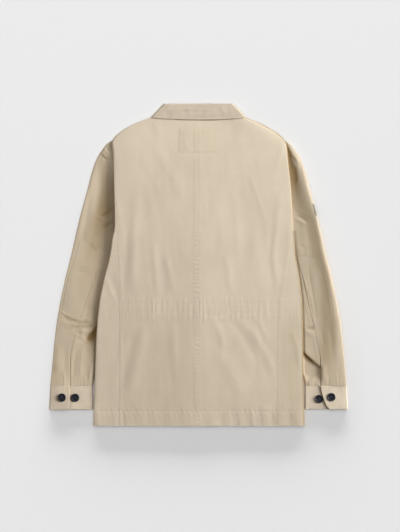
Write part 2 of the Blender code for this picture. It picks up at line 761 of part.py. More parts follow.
def build_buttons():
    mesh = button_mesh()
    cutter_mesh = hole_cutter()
    for button in CUFF_BUTTONS:
        level = CUFF_OVERLAP_TOP if button.on_overlap else CUFF_INNER_TOP
        place = (button.side * button.reach, button.y, level + SEAM_GAP)
        add_button(button.name, mesh, cutter_mesh, place, True)
    for index in range(FRONT_BUTTON_COUNT):
        place = (0.0, FRONT_BUTTON_TOP_Y - FRONT_BUTTON_PITCH * index, BUTTON_HEIGHT)
        add_button("front_button_%d" % (index + 1), mesh, cutter_mesh, place, False)


def main():
    for item in list(bpy.data.objects):
        bpy.data.objects.remove(item)
    for side in SIDES:
        build_back(side)
        build_side(side)
        build_front(side)
        build_topsleeve(side)
        build_undersleeve(side)
        build_elbow_patch(side)
        build_vent(side)
        build_cuff(side)
    build_casing()
    build_label_patch()
    build_badge()
    build_collar_leaf()
    build_collar_stand()
    build_buttons()


main()
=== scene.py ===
"""Safari jacket laid out flat with its back up.

The floor is z = 0, +Y runs from hem to collar and +X to the right seen from above. Shapes are
worked out in millimetres, as arrays, and become metres where a mesh is made. "side" is -1 for
the left half of the jacket and +1 for the right half, and "reach" is the distance from the
jacket's middle line towards that side. Every cloth piece is a bmesh grid laid on the seams of
the CAD piece that it replaces, creased, with a wall as thick as its cloth.
"""
import math
from collections import namedtuple

import bmesh
import bpy
import numpy as np
from bpy.props import FloatProperty, FloatVectorProperty, PointerProperty
from mathutils import Matrix, Vector
from mathutils.bvhtree import BVHTree


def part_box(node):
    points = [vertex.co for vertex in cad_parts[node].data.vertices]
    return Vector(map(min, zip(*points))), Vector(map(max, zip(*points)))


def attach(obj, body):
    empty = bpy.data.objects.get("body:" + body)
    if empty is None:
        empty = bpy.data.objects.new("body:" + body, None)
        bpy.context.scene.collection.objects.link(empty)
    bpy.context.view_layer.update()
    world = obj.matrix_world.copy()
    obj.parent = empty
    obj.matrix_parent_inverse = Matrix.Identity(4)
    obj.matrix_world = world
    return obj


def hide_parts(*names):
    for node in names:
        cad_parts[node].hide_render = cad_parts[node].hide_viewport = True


bl_info = {
    "name": "Safari Jacket",
    "version": (1, 0, 0),
    "blender": (4, 5, 0),
    "location": "3D View > Sidebar > Jacket",
    "description": "Builds a cotton safari jacket laid out flat with its back up",
    "category": "Object",
}

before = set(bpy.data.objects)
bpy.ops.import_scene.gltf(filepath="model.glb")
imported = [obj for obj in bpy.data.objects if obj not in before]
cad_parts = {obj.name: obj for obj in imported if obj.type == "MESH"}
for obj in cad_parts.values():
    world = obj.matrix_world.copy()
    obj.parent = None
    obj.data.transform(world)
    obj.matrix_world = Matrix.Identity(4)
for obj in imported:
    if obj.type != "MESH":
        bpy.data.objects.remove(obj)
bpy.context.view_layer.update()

MM = 0.001
LEFT, RIGHT = -1, 1
SIDES = {LEFT: "left", RIGHT: "right"}
UP, DOWN = 1, -1


# ---- small maths

def smooth(t):
    """0 below 0, 1 above 1, with level ends."""
    t = np.clip(t, 0, 1)
    return t * t * (3 - 2 * t)


def bump(distance, width):
    """1 on a line, fading to 0 a few widths away."""
    return np.exp(-(distance / width) ** 2)


def between(value, low, high, fade):
    """1 from low to high, fading out over fade on either side."""
    return smooth((value - low) / fade + 0.5) * smooth((high - value) / fade + 0.5)


def listed(kind, *rows):
    """A table: each row of values as one named tuple."""
    return [kind(*row) for row in rows]


class Curve:
    """A value along y: straight between its rows, with the corners rounded off."""

    def __init__(self, ys, values, round_off=10):
        order = np.argsort(ys)
        ys, values = np.asarray(ys, float)[order], np.asarray(values, float)[order]
        self.ys = np.arange(ys[0], ys[-1] + 1, 1)
        line = np.interp(self.ys, ys, values)
        reach = int(round_off)
        if reach > 0 and len(line) > 2:
            before = line[0] - (line[1] - line[0]) * np.arange(reach, 0, -1)
            after = line[-1] + (line[-1] - line[-2]) * np.arange(1, reach + 1)
            kernel = np.hanning(2 * reach + 3)[1:-1]
            padded = np.concatenate([before, line, after])
            line = np.convolve(padded, kernel / kernel.sum(), mode="valid")
        self.values = line

    def __call__(self, y):
        return np.interp(y, self.ys, self.values)


def column(table, name, round_off=14):
    """One named column of a table, as a curve along its y."""
    return Curve([row.y for row in table], [getattr(row, name) for row in table], round_off)


def waves(x, y, size, seed, stretch=1, count=9):
    """Soft unevenness between about -1 and 1: a few long waves in seeded directions.

    size is the usual distance between two crests; stretch makes them longer along y."""
    random = np.random.default_rng(seed)
    total = 0
    for _ in range(count):
        heading = random.uniform(0, math.pi)
        length = size * random.uniform(0.7, 1.6)
        phase = random.uniform(0, math.tau)
        total += np.sin((x * math.cos(heading) + y * math.sin(heading) / stretch)
                        * math.tau / length + phase)
    return total / math.sqrt(count) * 0.8


def ripples(along, pitch, seed):
    """Uneven puckers along a row of stitches: two close pitches that beat with each other."""
    drift = waves(along, 0, pitch * 6, seed, count=4)
    strength = 0.65 + 0.35 * waves(along, 0, pitch * 9, seed + 1, count=4)
    return strength * np.sin(along * math.tau / pitch + 1.9 * drift)


def along_path(x, y, path):
    """Distance to a path (positive to the left of its direction) and the share of the way."""
    lengths = [math.dist(a, b) for a, b in zip(path, path[1:])]
    total = sum(lengths)
    best = signed = share = None
    walked = 0
    for (ax, ay), (bx, by), length in zip(path, path[1:], lengths):
        dx, dy = (bx - ax) / length, (by - ay) / length
        t = np.clip((x - ax) * dx + (y - ay) * dy, 0, length)
        off_x, off_y = x - ax - t * dx, y - ay - t * dy
        away = np.hypot(off_x, off_y)
        turn = np.where(dx * off_y - dy * off_x >= 0, 1, -1)
        if best is None:
            best, signed, share = away, away * turn, (walked + t) / total
        else:
            nearer = away < best
            best = np.where(nearer, away, best)
            signed = np.where(nearer, away * turn, signed)
            share = np.where(nearer, (walked + t) / total, share)
        walked += length
    return signed, share


# Fold: a soft ridge (height above 0) or trough (below 0) along a path
Fold = namedtuple("Fold", "height width path")
# Share of a fold's height that is left after pressing
FOLD_DEPTH = 0.42
# Share of its path over which a fold rises or dies away
FOLD_TAPER = 0.28


def fold_list(*rows):
    """Folds from rows of a height, a width and the points of a path."""
    return [Fold(height, width, path) for height, width, *path in rows]


def folded(x, y, folds):
    """Height that a list of folds adds at each point."""
    total = np.zeros(np.broadcast(x, y).shape)
    for fold in folds:
        away, share = along_path(x, y, fold.path)
        taper = smooth(share / FOLD_TAPER) * smooth((1 - share) / FOLD_TAPER)
        total += fold.height * taper * bump(away, fold.width)
    return total * FOLD_DEPTH


# ---- meshes and objects

def mesh_of(name, bm):
    """A mesh with the shape of a finished bmesh."""
    mesh = bpy.data.meshes.new(name)
    bm.to_mesh(mesh)
    bm.free()
    return mesh


def in_scene(name, data):
    """A new object for a mesh, light or camera, in the scene."""
    item = bpy.data.objects.new(name, data)
    bpy.context.scene.collection.objects.link(item)
    return item


def baked(item):
    """The mesh that an object's modifiers make."""
    return bpy.data.meshes.new_from_object(
        item.evaluated_get(bpy.context.evaluated_depsgraph_get()))


def box_in_mm(name):
    """Lowest and highest corner of a CAD piece, in millimetres."""
    return [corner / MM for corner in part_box(name)]


# ---- seams read from the frame

def node_points(*names):
    """All corner points of some CAD pieces, in millimetres."""
    groups = []
    for name in names:
        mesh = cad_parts[name].data
        flat = np.empty(len(mesh.vertices) * 3)
        mesh.vertices.foreach_get("co", flat)
        groups.append(flat.reshape(-1, 3) / MM)
    return np.concatenate(groups)


# Corners further apart than this along y lie in different rows
ROW_GAP = 1.5
# A row that strays this far from its neighbours has no corner on the seam
STRAY = 25


def seam(nodes, side, widest=True, lowest=-1e6, highest=1e6, y_from=-1e6, y_to=1e6,
         round_off=10):
    """The reach of a CAD piece's outermost (or innermost) points, row by row, as a curve."""
    points = node_points(*nodes)
    keep = (points[:, 2] >= lowest) & (points[:, 2] <= highest)
    keep &= (points[:, 1] >= y_from) & (points[:, 1] <= y_to)
    points = points[keep]
    points = points[np.argsort(points[:, 1])]
    reach = points[:, 0] * side
    rows = np.split(np.arange(len(points)), np.where(np.diff(points[:, 1]) > ROW_GAP)[0] + 1)
    pick = np.argmax if widest else np.argmin
    best = np.array([row[pick(reach[row])] for row in rows])
    ys, found = points[best, 1], reach[best]
    # a straight stretch may have no corner of its own in a row: such a row is left out
    steady = np.ones(len(ys), bool)
    for k in range(1, len(ys) - 1):
        expected = np.interp(ys[k], [ys[k - 1], ys[k + 1]], [found[k - 1], found[k + 1]])
        steady[k] = abs(found[k] - expected) < STRAY
    return Curve(ys[steady], found[steady], round_off)


# The sleeve's cap runs into the shoulder's edge here
SLEEVE_HEAD_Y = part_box("topsleeve_left")[1].y / MM + 9


class Half:
    """The seam lines of one half of the jacket."""

    def __init__(self, side):
        name = SIDES[side]
        self.body = seam(["front_" + name, "side_" + name], side)
        self.side_back = seam(["back_" + name], side, y_to=80.5)
        self.elbow = seam(["undersleeve_" + name], side, lowest=2.9)
        self.forearm = seam(["undersleeve_" + name], side, highest=1.3, round_off=6)
        self.tuck = seam(["undersleeve_" + name], side, widest=False)
        self.sleeve_edge = seam(["topsleeve_" + name], side)
        self.neck = seam(["front_" + name], side, widest=False, y_from=292.3, round_off=3)
        self.cuff_outer = seam(["cuff_" + name], side, round_off=4)
        self.cuff_end = seam(["cuff_" + name], side, widest=False, lowest=6.9, round_off=3)
        low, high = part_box("cuff_" + name)
        self.cuff_top_y, self.cuff_hem_y = high.y / MM, low.y / MM
        inner = min(abs(low.x), abs(high.x)) / MM
        self.cuff_inner = Curve([low.y / MM, high.y / MM], [inner, inner])

    def sleeve(self, y):
        """The sleeve's outer fold, running up into the shoulder above its cap."""
        return np.minimum(self.sleeve_edge(y), self.body(SLEEVE_HEAD_Y) + 2
                          + (SLEEVE_HEAD_Y - y) * 1.5)


HALVES = {side: Half(side) for side in SIDES}

NECK_SEAM_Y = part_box("back_left")[1].y / MM
HEM_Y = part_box("back_left")[0].y / MM
HEM_STITCH_Y = HEM_Y + 34.8
UNDERARM_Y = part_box("side_left")[1].y / MM
CENTRE_SEAM_X = (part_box("back_left")[1].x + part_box("back_right")[0].x) / 2 / MM
CASING_LOW, CASING_HIGH = (corner.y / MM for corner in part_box("waist_casing"))
NECK_PATCH = [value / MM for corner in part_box("neck_patch") for value in corner[:2]]
SLEEVE_END_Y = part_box("topsleeve_left")[0].y / MM
VENT_TOP_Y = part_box("vent_underlap_left")[1].y / MM - 3
NECK_POINT_Y = 292.2
# Rows of stitches: their distances from the seam or edge that each runs beside
CENTRE_ROWS = (2.4, 12.2)
SIDE_ROWS = (2, 8.4)
ELBOW_ROWS = (2.2, 8)
PATCH_ROWS = (2.4, 8.4)
VENT_ROW = 3.4
CUFF_ROW = 4
COLLAR_ROW, COLLAR_ROW_GAP = 5, 6.5
# Rows of stitches, as places: down the placket, along the casing and round the neck patch
PLACKET_ROWS = (15, -24)
CASING_ROWS = (CASING_HIGH - 1.5, CASING_HIGH - 13, CASING_LOW + 17, CASING_LOW + 2)
NECK_ROW = [value + inset for value, inset in zip(NECK_PATCH, (2, 2, -2, -2))]


# ---- heights

# Back and side panels, height of the top face: on the middle line, half way out, on the crest
# just inside the armhole or the side fold, and at that edge's rim
BodySection = namedtuple("BodySection", "y middle half crest rim")
BODY_SECTIONS = {
    LEFT: listed(
        BodySection,
        (394, 6.9, 7, 7.2, 6.2), (359, 7, 7.6, 8.8, 6.8), (343, 8.4, 9, 9.2, 7),
        (326, 10.2, 10.6, 10.6, 8), (304, 12.4, 12.7, 12.6, 9), (284, 14, 14.3, 14.2, 10.6),
        (262, 15.4, 15.7, 15.7, 14.6), (190, 17, 17.4, 17.6, 17.3), (110, 17.4, 17.6, 17.8, 17.5),
        (70, 17.4, 17.3, 17.2, 16.9), (40, 17.2, 16.8, 15.8, 15.4), (0, 17, 16.2, 14.6, 14.2),
        (-50, 16.6, 15.6, 14, 13.6), (-130, 15.8, 14.6, 13, 12.6), (-190, 15.2, 13.8, 12, 11.4),
        (-250, 14.6, 13.2, 11.4, 10.6), (-310, 13.2, 12, 10.4, 9.6), (-350, 11.4, 10.5, 9.4, 8.8),
        (-394, 8.8, 8.4, 8, 7.4)),
    RIGHT: listed(
        BodySection,
        (394, 6.9, 6.9, 7, 5.9), (359, 7, 7.4, 8.6, 6.8), (343, 8.4, 8.6, 8.8, 6.6),
        (326, 10.2, 10, 9.8, 7.4), (304, 12.4, 11.8, 11.4, 9.8), (262, 15.4, 13.8, 12.6, 11.6),
        (190, 17, 14.4, 12, 11.2), (110, 17.4, 14.2, 11.4, 10.6), (0, 17, 13.8, 11.2, 10.4),
        (-130, 15.8, 13, 11, 10.5), (-250, 14.6, 12.2, 10.6, 10.2), (-310, 13.2, 11.2, 10, 9.5),
        (-350, 11.4, 10, 9, 8), (-394, 8.8, 8, 7.6, 6.8)),
}
# Lower face of the side fold, over the tucked sleeve
Level = namedtuple("Level", "y under")
BODY_UNDER = column(listed(
    Level, (394, 4.3), (304, 4.4), (286, 4.9), (264, 5.6), (92, 5.8), (60, 5.4), (-250, 5.4),
    (-275, 4.4), (-310, 2.3), (-340, 0.6), (-359, 0), (-394, 0)), "under", 10)
# How far the crest lies inside the edge, and how wide the rim is
CREST_INSET = 14
RIM = 4
# How much of the crest's height is kept close to the edge
CREST_HOLD = {LEFT: 0.9, RIGHT: 0.3}

# Sleeves, height of the top face at shares of the way from the body's edge to the outer fold,
# and at the rim of that fold
SleeveSection = namedtuple("SleeveSection", "y s0 s15 s30 s50 s70 s91 rim")
SLEEVE_SHARES = (0, 0.15, 0.30, 0.50, 0.70, 0.91)
SLEEVE_SECTIONS = {
    LEFT: listed(
        SleeveSection,
        (294, 7.2, 7.2, 7.3, 7.2, 7, 6.8, 6.3), (276, 9.2, 9.1, 8.6, 7.9, 7.4, 6.9, 6.3),
        (254, 12.2, 10.6, 8.8, 7.4, 6.9, 6.7, 6.2), (234, 12.2, 9.6, 7.2, 6.2, 6.3, 6.5, 6.1),
        (212, 8.6, 6.2, 4.8, 5, 6, 6.5, 6.2), (188, 5, 3.9, 3.6, 4.2, 5.6, 6.4, 6.2),
        (110, 3.8, 3.1, 3.2, 3.7, 4.8, 5.6, 5.4), (40, 4, 3.4, 3.6, 4.2, 4.9, 5.2, 5),
        (-50, 4.2, 4.1, 4.5, 5.1, 5.3, 5.2, 5), (-126, 4.8, 4.9, 5.3, 5.6, 5.5, 5.2, 4.9),
        (-150, 7, 6.3, 5.9, 5.8, 5.6, 5.2, 4.9), (-173, 3.6, 4.4, 5.5, 5.8, 5.6, 5.2, 4.9),
        (-200, 6.4, 6.2, 6.2, 6, 5.7, 5.3, 5), (-235, 7.6, 7, 6.6, 6.2, 5.9, 5.6, 5.3),
        (-262, 7.2, 6.9, 6.7, 6.6, 6.4, 6, 5.6), (-296, 6, 6.2, 6.5, 7, 8.4, 8.2, 7.6)),
    RIGHT: listed(
        SleeveSection,
        (294, 6.8, 7, 7.4, 7.4, 7.2, 7, 6.4), (270, 4.6, 4.6, 7, 8.2, 7.8, 7.2, 6.6),
        (240, 4, 4.2, 5.6, 8.4, 10, 9.8, 9), (190, 3.8, 4.2, 5.6, 8.6, 11.6, 12.8, 12.2),
        (150, 4.6, 5.4, 6.8, 9.6, 12.6, 14.4, 14), (110, 5.6, 6.2, 7.2, 9.2, 12.2, 15.2, 15),
        (40, 6.2, 6.9, 7.8, 9.2, 11.8, 15.2, 15), (-50, 6.2, 6.9, 7.7, 8.8, 11.4, 15, 14.8),
        (-130, 6.6, 7, 7.7, 9, 11.8, 14.6, 14.4), (-170, 7.2, 7.2, 7.6, 9, 11.6, 13.6, 13.4),
        (-210, 7.2, 7.1, 7.4, 9.2, 11.4, 12.2, 11.8), (-262, 7.4, 7.4, 8, 9.4, 10.2, 10.4, 10),
        (-296, 6, 6, 6.3, 7.8, 8.8, 8.8, 8.6)),
}


def levels(sections, round_off=16):
    """The columns of a table of sections, each as a curve along y."""
    return {side: {name: column(rows, name, round_off) for name in rows[0]._fields[1:]}
            for side, rows in sections.items()}


BODY_LEVELS = levels(BODY_SECTIONS)
SLEEVE_LEVELS = levels(SLEEVE_SECTIONS)
# Top face of a sleeve where it is tucked under the body
TUCKED_LEVEL = 4.9
# Highest point of the back, and lowest of a sleeve's top face
BODY_LIMIT = 20.4
SLEEVE_LIMIT = 3
# Gap between two panels at a seam
SEAM = 0.14
# Folds are pressed: their depth sideways is this share of half their height
PRESSED = 0.45


def through(places, heights, at):
    """A smooth line through heights at places, both of which may change from row to row."""
    steps = [(heights[k + 1] - heights[k]) / (places[k + 1] - places[k])
             for k in range(len(places) - 1)]
    slopes = [steps[0]] + [(a + b) / 2 for a, b in zip(steps, steps[1:])] + [steps[-1]]
    result = heights[0] + slopes[0] * (at - places[0])
    for k, _ in enumerate(steps):
        span = places[k + 1] - places[k]
        t = np.clip((at - places[k]) / span, 0, 1)
        part = ((2 * t**3 - 3 * t**2 + 1) * heights[k] + (t**3 - 2 * t**2 + t) * span * slopes[k]
                + (3 * t**2 - 2 * t**3) * heights[k + 1] + (t**3 - t**2) * span * slopes[k + 1])
        result = np.where(at >= places[k], part, result)
    return result


# Casing: the gathers of the waist, each a ridge from above the casing to below it
Gather = namedtuple("Gather", "x lean height width above below")
GATHERS = listed(
    Gather,
    (-226, 0, 0.7, 3, 8, 6), (-213, 1, 0.8, 3.2, 10, 8), (-183, 0.5, 0.8, 3, 8, 8),
    (-171, -1, 1, 2.8, 12, 6), (-160, 0, 0.7, 2.4, 6, 5), (-147, 1, 0.9, 2.6, 9, 8),
    (-135, 0, 0.8, 2.4, 6, 5), (-122, -1, 1, 2.6, 10, 6), (-110, 0.5, 1.6, 2.4, 9, 7),
    (-101, 0, 1, 2.2, 5, 4), (-84, 1, 1.4, 3.2, 12, 7), (-72, -2, 0.7, 2.2, 6, 5),
    (-57, -2, 1.1, 3, 9, 6), (-47, 0, 0.8, 2.4, 6, 5), (-35, 0.5, 1.1, 2.4, 8, 8),
    (-22, 0.5, 1.1, 2.4, 7, 5), (14, 0.5, 1.2, 2.2, 6, 8), (26, 1, 1.3, 2.4, 7, 10),
    (40, 0.5, 1, 2.2, 6, 9), (54, 0, 0.9, 2.6, 9, 5), (66, -0.5, 1.5, 2.4, 6, 5),
    (80, 1.5, 1.8, 2.4, 8, 9), (93, 0.5, 0.9, 2.4, 8, 6), (106, 1.5, 1.7, 2.6, 8, 9),
    (121, 1, 1, 2.4, 6, 10), (135, 1.5, 0.9, 2.4, 8, 9), (150, 0.5, 1.3, 2.4, 9, 7),
    (168, 0, 1.7, 2.6, 9, 6), (183, 0.5, 0.8, 2.4, 8, 6), (198, 0, 0.9, 2.6, 7, 6),
    (224, 0.5, 0.8, 2.6, 6, 6))
# Long soft folds of the back, each along its own path
BACK_FOLDS = fold_list(
    (1.9, 12, (-150, 196), (-155, 80), (-160, -20), (-158, -84)),
    (-1.1, 9, (-172, 120), (-176, 20), (-180, -84)), (1.4, 8, (-112, 72), (-106, 0), (-101, -84)),
    (1.3, 8, (-78, 24), (-66, -36), (-58, -82)), (-0.8, 8, (-92, 40), (-84, -30), (-80, -82)),
    (1.2, 14, (-118, 312), (-72, 232), (-26, 148)),
    (-0.7, 10, (-140, 250), (-108, 170), (-88, 90)), (0.7, 12, (-60, 160), (-46, 80), (-30, -10)),
    (1.5, 9, (202, 190), (193, 118), (182, 12), (197, -60)),
    (-1, 7, (186, 130), (172, 20), (180, -50), (184, -82)),
    (0.9, 6, (122, 232), (142, 170), (160, 112)), (0.8, 12, (34, 180), (56, 90), (64, 20)),
    (1.3, 9, (60, 36), (74, -20), (78, -78)), (-0.7, 14, (96, 230), (112, 100), (116, -60)),
    (0.8, 14, (128, 120), (140, 20), (140, -70)), (0.7, 6, (-116, 352), (-100, 332), (-88, 306)),
    (0.7, 7, (120, 350), (104, 322), (98, 296)), (1, 4, (-38, 311), (-33, 296), (-28, 280)),
    (-0.6, 4, (-46, 326), (-38, 306), (-36, 288)), (1.5, 9, (34, -128), (54, -172), (66, -216)),
    (2.2, 19, (30, -190), (74, -252), (112, -326)),
    (1.9, 10, (92, -127), (132, -164), (166, -222), (190, -286)),
    (-1.2, 9, (76, -130), (112, -180), (148, -250)),
    (1, 7, (142, -126), (158, -160), (170, -196)),
    (2, 15, (-128, -130), (-150, -236), (-178, -350)),
    (-1.2, 11, (-152, -150), (-176, -240), (-196, -330)),
    (0.9, 10, (-62, -128), (-60, -200), (-56, -290)),
    (0.7, 12, (-104, -200), (-100, -270), (-92, -340)),
    (-0.9, 3.5, (2, -121), (40, -124), (82, -122)),
    (-1.1, 9, (-216, -14), (-204, -60), (-196, -84)),
    (1, 7, (-228, -30), (-214, -64), (-204, -86)),
    (1.4, 7, (226, -150), (240, -200), (252, -262)),
    (0.7, 12, (60, -300), (64, -330), (66, -352)),
    (0.9, 6, (150, -346), (172, -352), (186, -366)), (1, 9, (-206, 172), (-196, 120), (-188, 66)),
    (0.9, 8, (206, 300), (196, 262), (190, 220)))


def casing_relief(x, y):
    """Gathers of the waist, pinched where the rows of stitches hold them flat."""
    total = np.zeros(np.broadcast(x, y).shape)
    for gather in GATHERS:
        middle = gather.x + gather.lean * (CASING_HIGH - 25 - y) / 25
        fade = (smooth((CASING_HIGH + gather.above - y) / gather.above)
                * smooth((y - CASING_LOW + gather.below) / gather.below))
        spread = 1 + 0.9 * (smooth((y - CASING_HIGH) / 30) + smooth((CASING_LOW - y) / 30))
        total += 0.25 * gather.height * fade * bump(x - middle, gather.width * spread)
    total *= (0.62 + 0.5 * waves(x, y, 38, 33))
    inside = between(y, CASING_LOW, CASING_HIGH, 8)
    fine = waves(x, y, 9, 31, stretch=6) * 0.14
    held = sum(bump(y - row, 1.8) for row in CASING_ROWS)
    wide = between(y, CASING_LOW - 26, CASING_HIGH + 26, 30)
    return (total * (1 - 0.45 * held) - 0.15 * wide
            + inside * (fine + 0.16) - 0.12 * held * inside)


def neck_patch_relief(x, y):
    """The patch inside the neck shows as a slightly raised, stitched rectangle."""
    x_from, y_from, x_to, y_to = NECK_ROW
    inside = between(x, x_from, x_to, 5) * between(y, y_from, y_to, 5)
    near_x = np.minimum(abs(x - x_from), abs(x - x_to))
    near_y = np.minimum(abs(y - y_from), abs(y - y_to))
    on_line = np.maximum(bump(near_x, 1.6) * between(y, y_from, y_to, 3),
                         bump(near_y, 1.6) * between(x, x_from, x_to, 3))
    pucker = (bump(near_y, 6) * ripples(x, 9, 41) * between(x, x_from, x_to, 8)
              + bump(near_x, 6) * ripples(y, 9, 42) * between(y, y_from, y_to, 8))
    return 0.22 * inside - 0.24 * on_line + 0.10 * pucker


def body_height(side, x, y):
    """Top face of the back and of the side panels."""
    half = HALVES[side]
    reach = side * x
    edge = half.body(y)
    inset = edge - reach
    level = {name: curve(y) for name, curve in BODY_LEVELS[side].items()}
    crest_at = edge - CREST_INSET
    hold = CREST_HOLD[side]
    height = through([np.zeros_like(edge), crest_at / 2, crest_at, edge - RIM],
                     [level["middle"], level["half"], level["crest"],
                      hold * level["crest"] + (1 - hold) * level["rim"]], reach)
    height += (level["rim"] - height) * smooth(1 - inset / RIM)
    calm = smooth(inset / 10)
    height += calm * folded(x, y, BACK_FOLDS)
    height += calm * (0.28 * waves(x, y, 120, 5, stretch=2.6)
                      + 0.10 * waves(x, y, 42, 6, stretch=2.6)
                      + 0.045 * waves(x, y, 22, 8, stretch=6)
                      + 0.03 * waves(x, y, 15, 7))
    height = height + casing_relief(x, y) + neck_patch_relief(x, y)
    # centre back seam: a felled band left of it, held by two rows of stitches
    from_seam = CENTRE_SEAM_X - x
    height += 0.12 * between(from_seam, -1, 13.5, 5)
    for row in CENTRE_ROWS:
        height -= 0.05 * bump(from_seam - row, 1.3)
        height += 0.07 * ripples(y, 7.6, 50 + int(row)) * bump(from_seam - row, 5)
    # the band puckers between its rows, more so below the shoulder blades
    height += 0.38 * ripples(y, 9.8, 56) * bump(from_seam - 6, 5) * smooth((130 - y) / 40)
    # side-back seam, with two rows of stitches on the back panel
    from_side = half.side_back(y) - reach
    below = smooth((UNDERARM_Y - y) / 20)
    height += 0.22 * between(from_side, 0, 9.5, 3) * below
    for row in SIDE_ROWS:
        height -= 0.14 * bump(from_side - row, 1.3) * below
        height += 0.09 * ripples(y, 8.4, 60 + side) * bump(from_side - row, 6) * below
    # hem: a turned-up ply under one row of stitches
    height += 0.2 * smooth((HEM_STITCH_Y - y) / 6)
    height -= 0.16 * bump(y - HEM_STITCH_Y, 1.8)
    height += 0.16 * ripples(x + 0.35 * y, 11, 71) * bump(y - HEM_STITCH_Y, 10) * calm
    height += calm * between(y, HEM_Y - 4, HEM_STITCH_Y + 4, 14) * (
        0.085 * ripples(x + 0.12 * y, 14, 73) + 0.28 * ripples(x + 0.12 * y, 38, 75))
    return np.minimum(height, BODY_LIMIT)


# Long folds, creases and the furrow of each sleeve
SLEEVE_FOLDS = {
    LEFT: fold_list(
        (1.4, 9, (-226, 286), (-236, 262), (-240, 232)),
        (-1.2, 6, (-238, 284), (-246, 262), (-250, 238)),
        (-1.5, 7, (-262, 190), (-274, 120), (-292, 40)),
        (1.3, 9, (-246, 150), (-262, 90), (-276, 44)),
        (-0.8, 5, (-322, -4), (-330, -60), (-337, -124)),
        (1.3, 8, (-262, -106), (-266, -130), (-268, -150)),
        (-1, 6, (-338, -121), (-322, -134), (-290, -141), (-254, -141)),
        (0.9, 8, (-336, -136), (-318, -147), (-296, -152)),
        (2.2, 3.5, (-242, 280), (-233, 270), (-224, 260)),
        (2.2, 3.2, (-236, 290), (-228, 278), (-220, 266)),
        (-1.7, 3, (-238, 273), (-230, 262), (-222, 256)),
        (1.7, 3.2, (-238, 98), (-221, 107), (-205, 118)),
        (-1.4, 3.2, (-243, 117), (-219, 132), (-203, 145)),
        (1.2, 3.4, (-252, 118), (-237, 112), (-222, 105)),
        (1, 3.2, (-240, 140), (-224, 148), (-208, 160)),
        (-2.4, 4.5, (-322, -150), (-299, -153), (-270, -152), (-250, -145)),
        (3, 7, (-296, -164), (-276, -164), (-252, -157)),
        (-5, 6, (-280, -184), (-262, -176), (-244, -160)),
        (1.6, 7, (-268, -300), (-264, -270), (-258, -236)),
        (-0.6, 6, (-330, -190), (-326, -230), (-324, -276)),
        (1.2, 8, (-342, -190), (-344, -230), (-346, -276)),
        (1.2, 7, (-284, -196), (-288, -236), (-290, -284)),
        (-1, 2.6, (-335, -126), (-316, -136), (-296, -139)),
        (1, 2.6, (-338, -112), (-326, -122), (-306, -127)),
        (-0.9, 2.4, (-320, -158), (-300, -161), (-282, -160)),
        (0.9, 3, (-312, -170), (-294, -174), (-276, -178)),
        (-0.8, 2.6, (-300, -178), (-286, -186), (-274, -196)),
        (0.8, 2.6, (-262, 4), (-276, -4), (-290, -2)),
        (-0.8, 2.6, (-264, -14), (-280, -20), (-300, -16)),
        (-0.9, 3, (-232, 276), (-240, 258), (-238, 240)),
        (0.8, 3, (-252, 268), (-256, 250), (-252, 230)),
        (-0.8, 3.4, (-300, -206), (-304, -240), (-306, -280)),
        (0.8, 3, (-332, -262), (-328, -280), (-328, -298)),
        (-0.8, 2.6, (-276, -262), (-270, -280), (-268, -298))),
    RIGHT: fold_list(
        (1.5, 8, (226, 288), (238, 262), (244, 226)),
        (-1.3, 6, (240, 280), (250, 256), (254, 226)),
        (-1, 6, (318, -136), (326, -190), (330, -256)),
        (-1, 3.4, (266, 8), (275, -46), (284, -98), (292, -150)),
        (0.7, 7, (276, 10), (286, -50), (302, -100)),
        (0.9, 2.8, (254, -18), (265, -64), (274, -106)),
        (-0.9, 2.8, (262, -52), (272, -92), (284, -140)),
        (1.5, 3.6, (234, 264), (242, 255), (250, 246)),
        (-1.6, 3.2, (216, 298), (227, 266), (241, 250)),
        (-1.5, 3.2, (235, 244), (239, 222), (240, 198)),
        (1.5, 3.6, (234, 113), (250, 106), (264, 96)),
        (-1.3, 3, (236, 121), (252, 116), (266, 106)),
        (0.9, 3, (238, 133), (256, 128), (270, 120)), (1.3, 9, (252, 120), (260, 70), (264, 30)),
        (-2.2, 4, (252, -154), (270, -156), (286, -154)),
        (1.7, 6, (250, -166), (270, -168), (288, -168)),
        (1.6, 7, (306, -236), (304, -262), (310, -290)),
        (-1, 6, (262, -296), (266, -284), (276, -268)),
        (1.4, 6, (268, -300), (276, -286), (290, -276)),
        (-0.9, 2.6, (243, 48), (256, 42), (266, 44)), (0.8, 2.6, (243, 30), (258, 26), (272, 30)),
        (-0.8, 3, (230, 262), (238, 246), (240, 228)),
        (0.8, 3, (258, -150), (270, -164), (276, -180)),
        (-0.8, 2.6, (296, -160), (304, -176), (306, -198)),
        (-0.7, 3, (318, -262), (320, -280), (318, -298)),
        (0.8, 2.8, (334, -258), (338, -280), (338, -298))),
}
# How far the topsleeve stands above the undersleeve at the elbow seam
ELBOW_STEP = {LEFT: 0.1, RIGHT: 0.4}
# Where a flap of the right undersleeve lies over the rest of it, from the seam to the vent
FLAP_EDGE = ((250, -206), (262, -218), (280, -234), (296, -247))


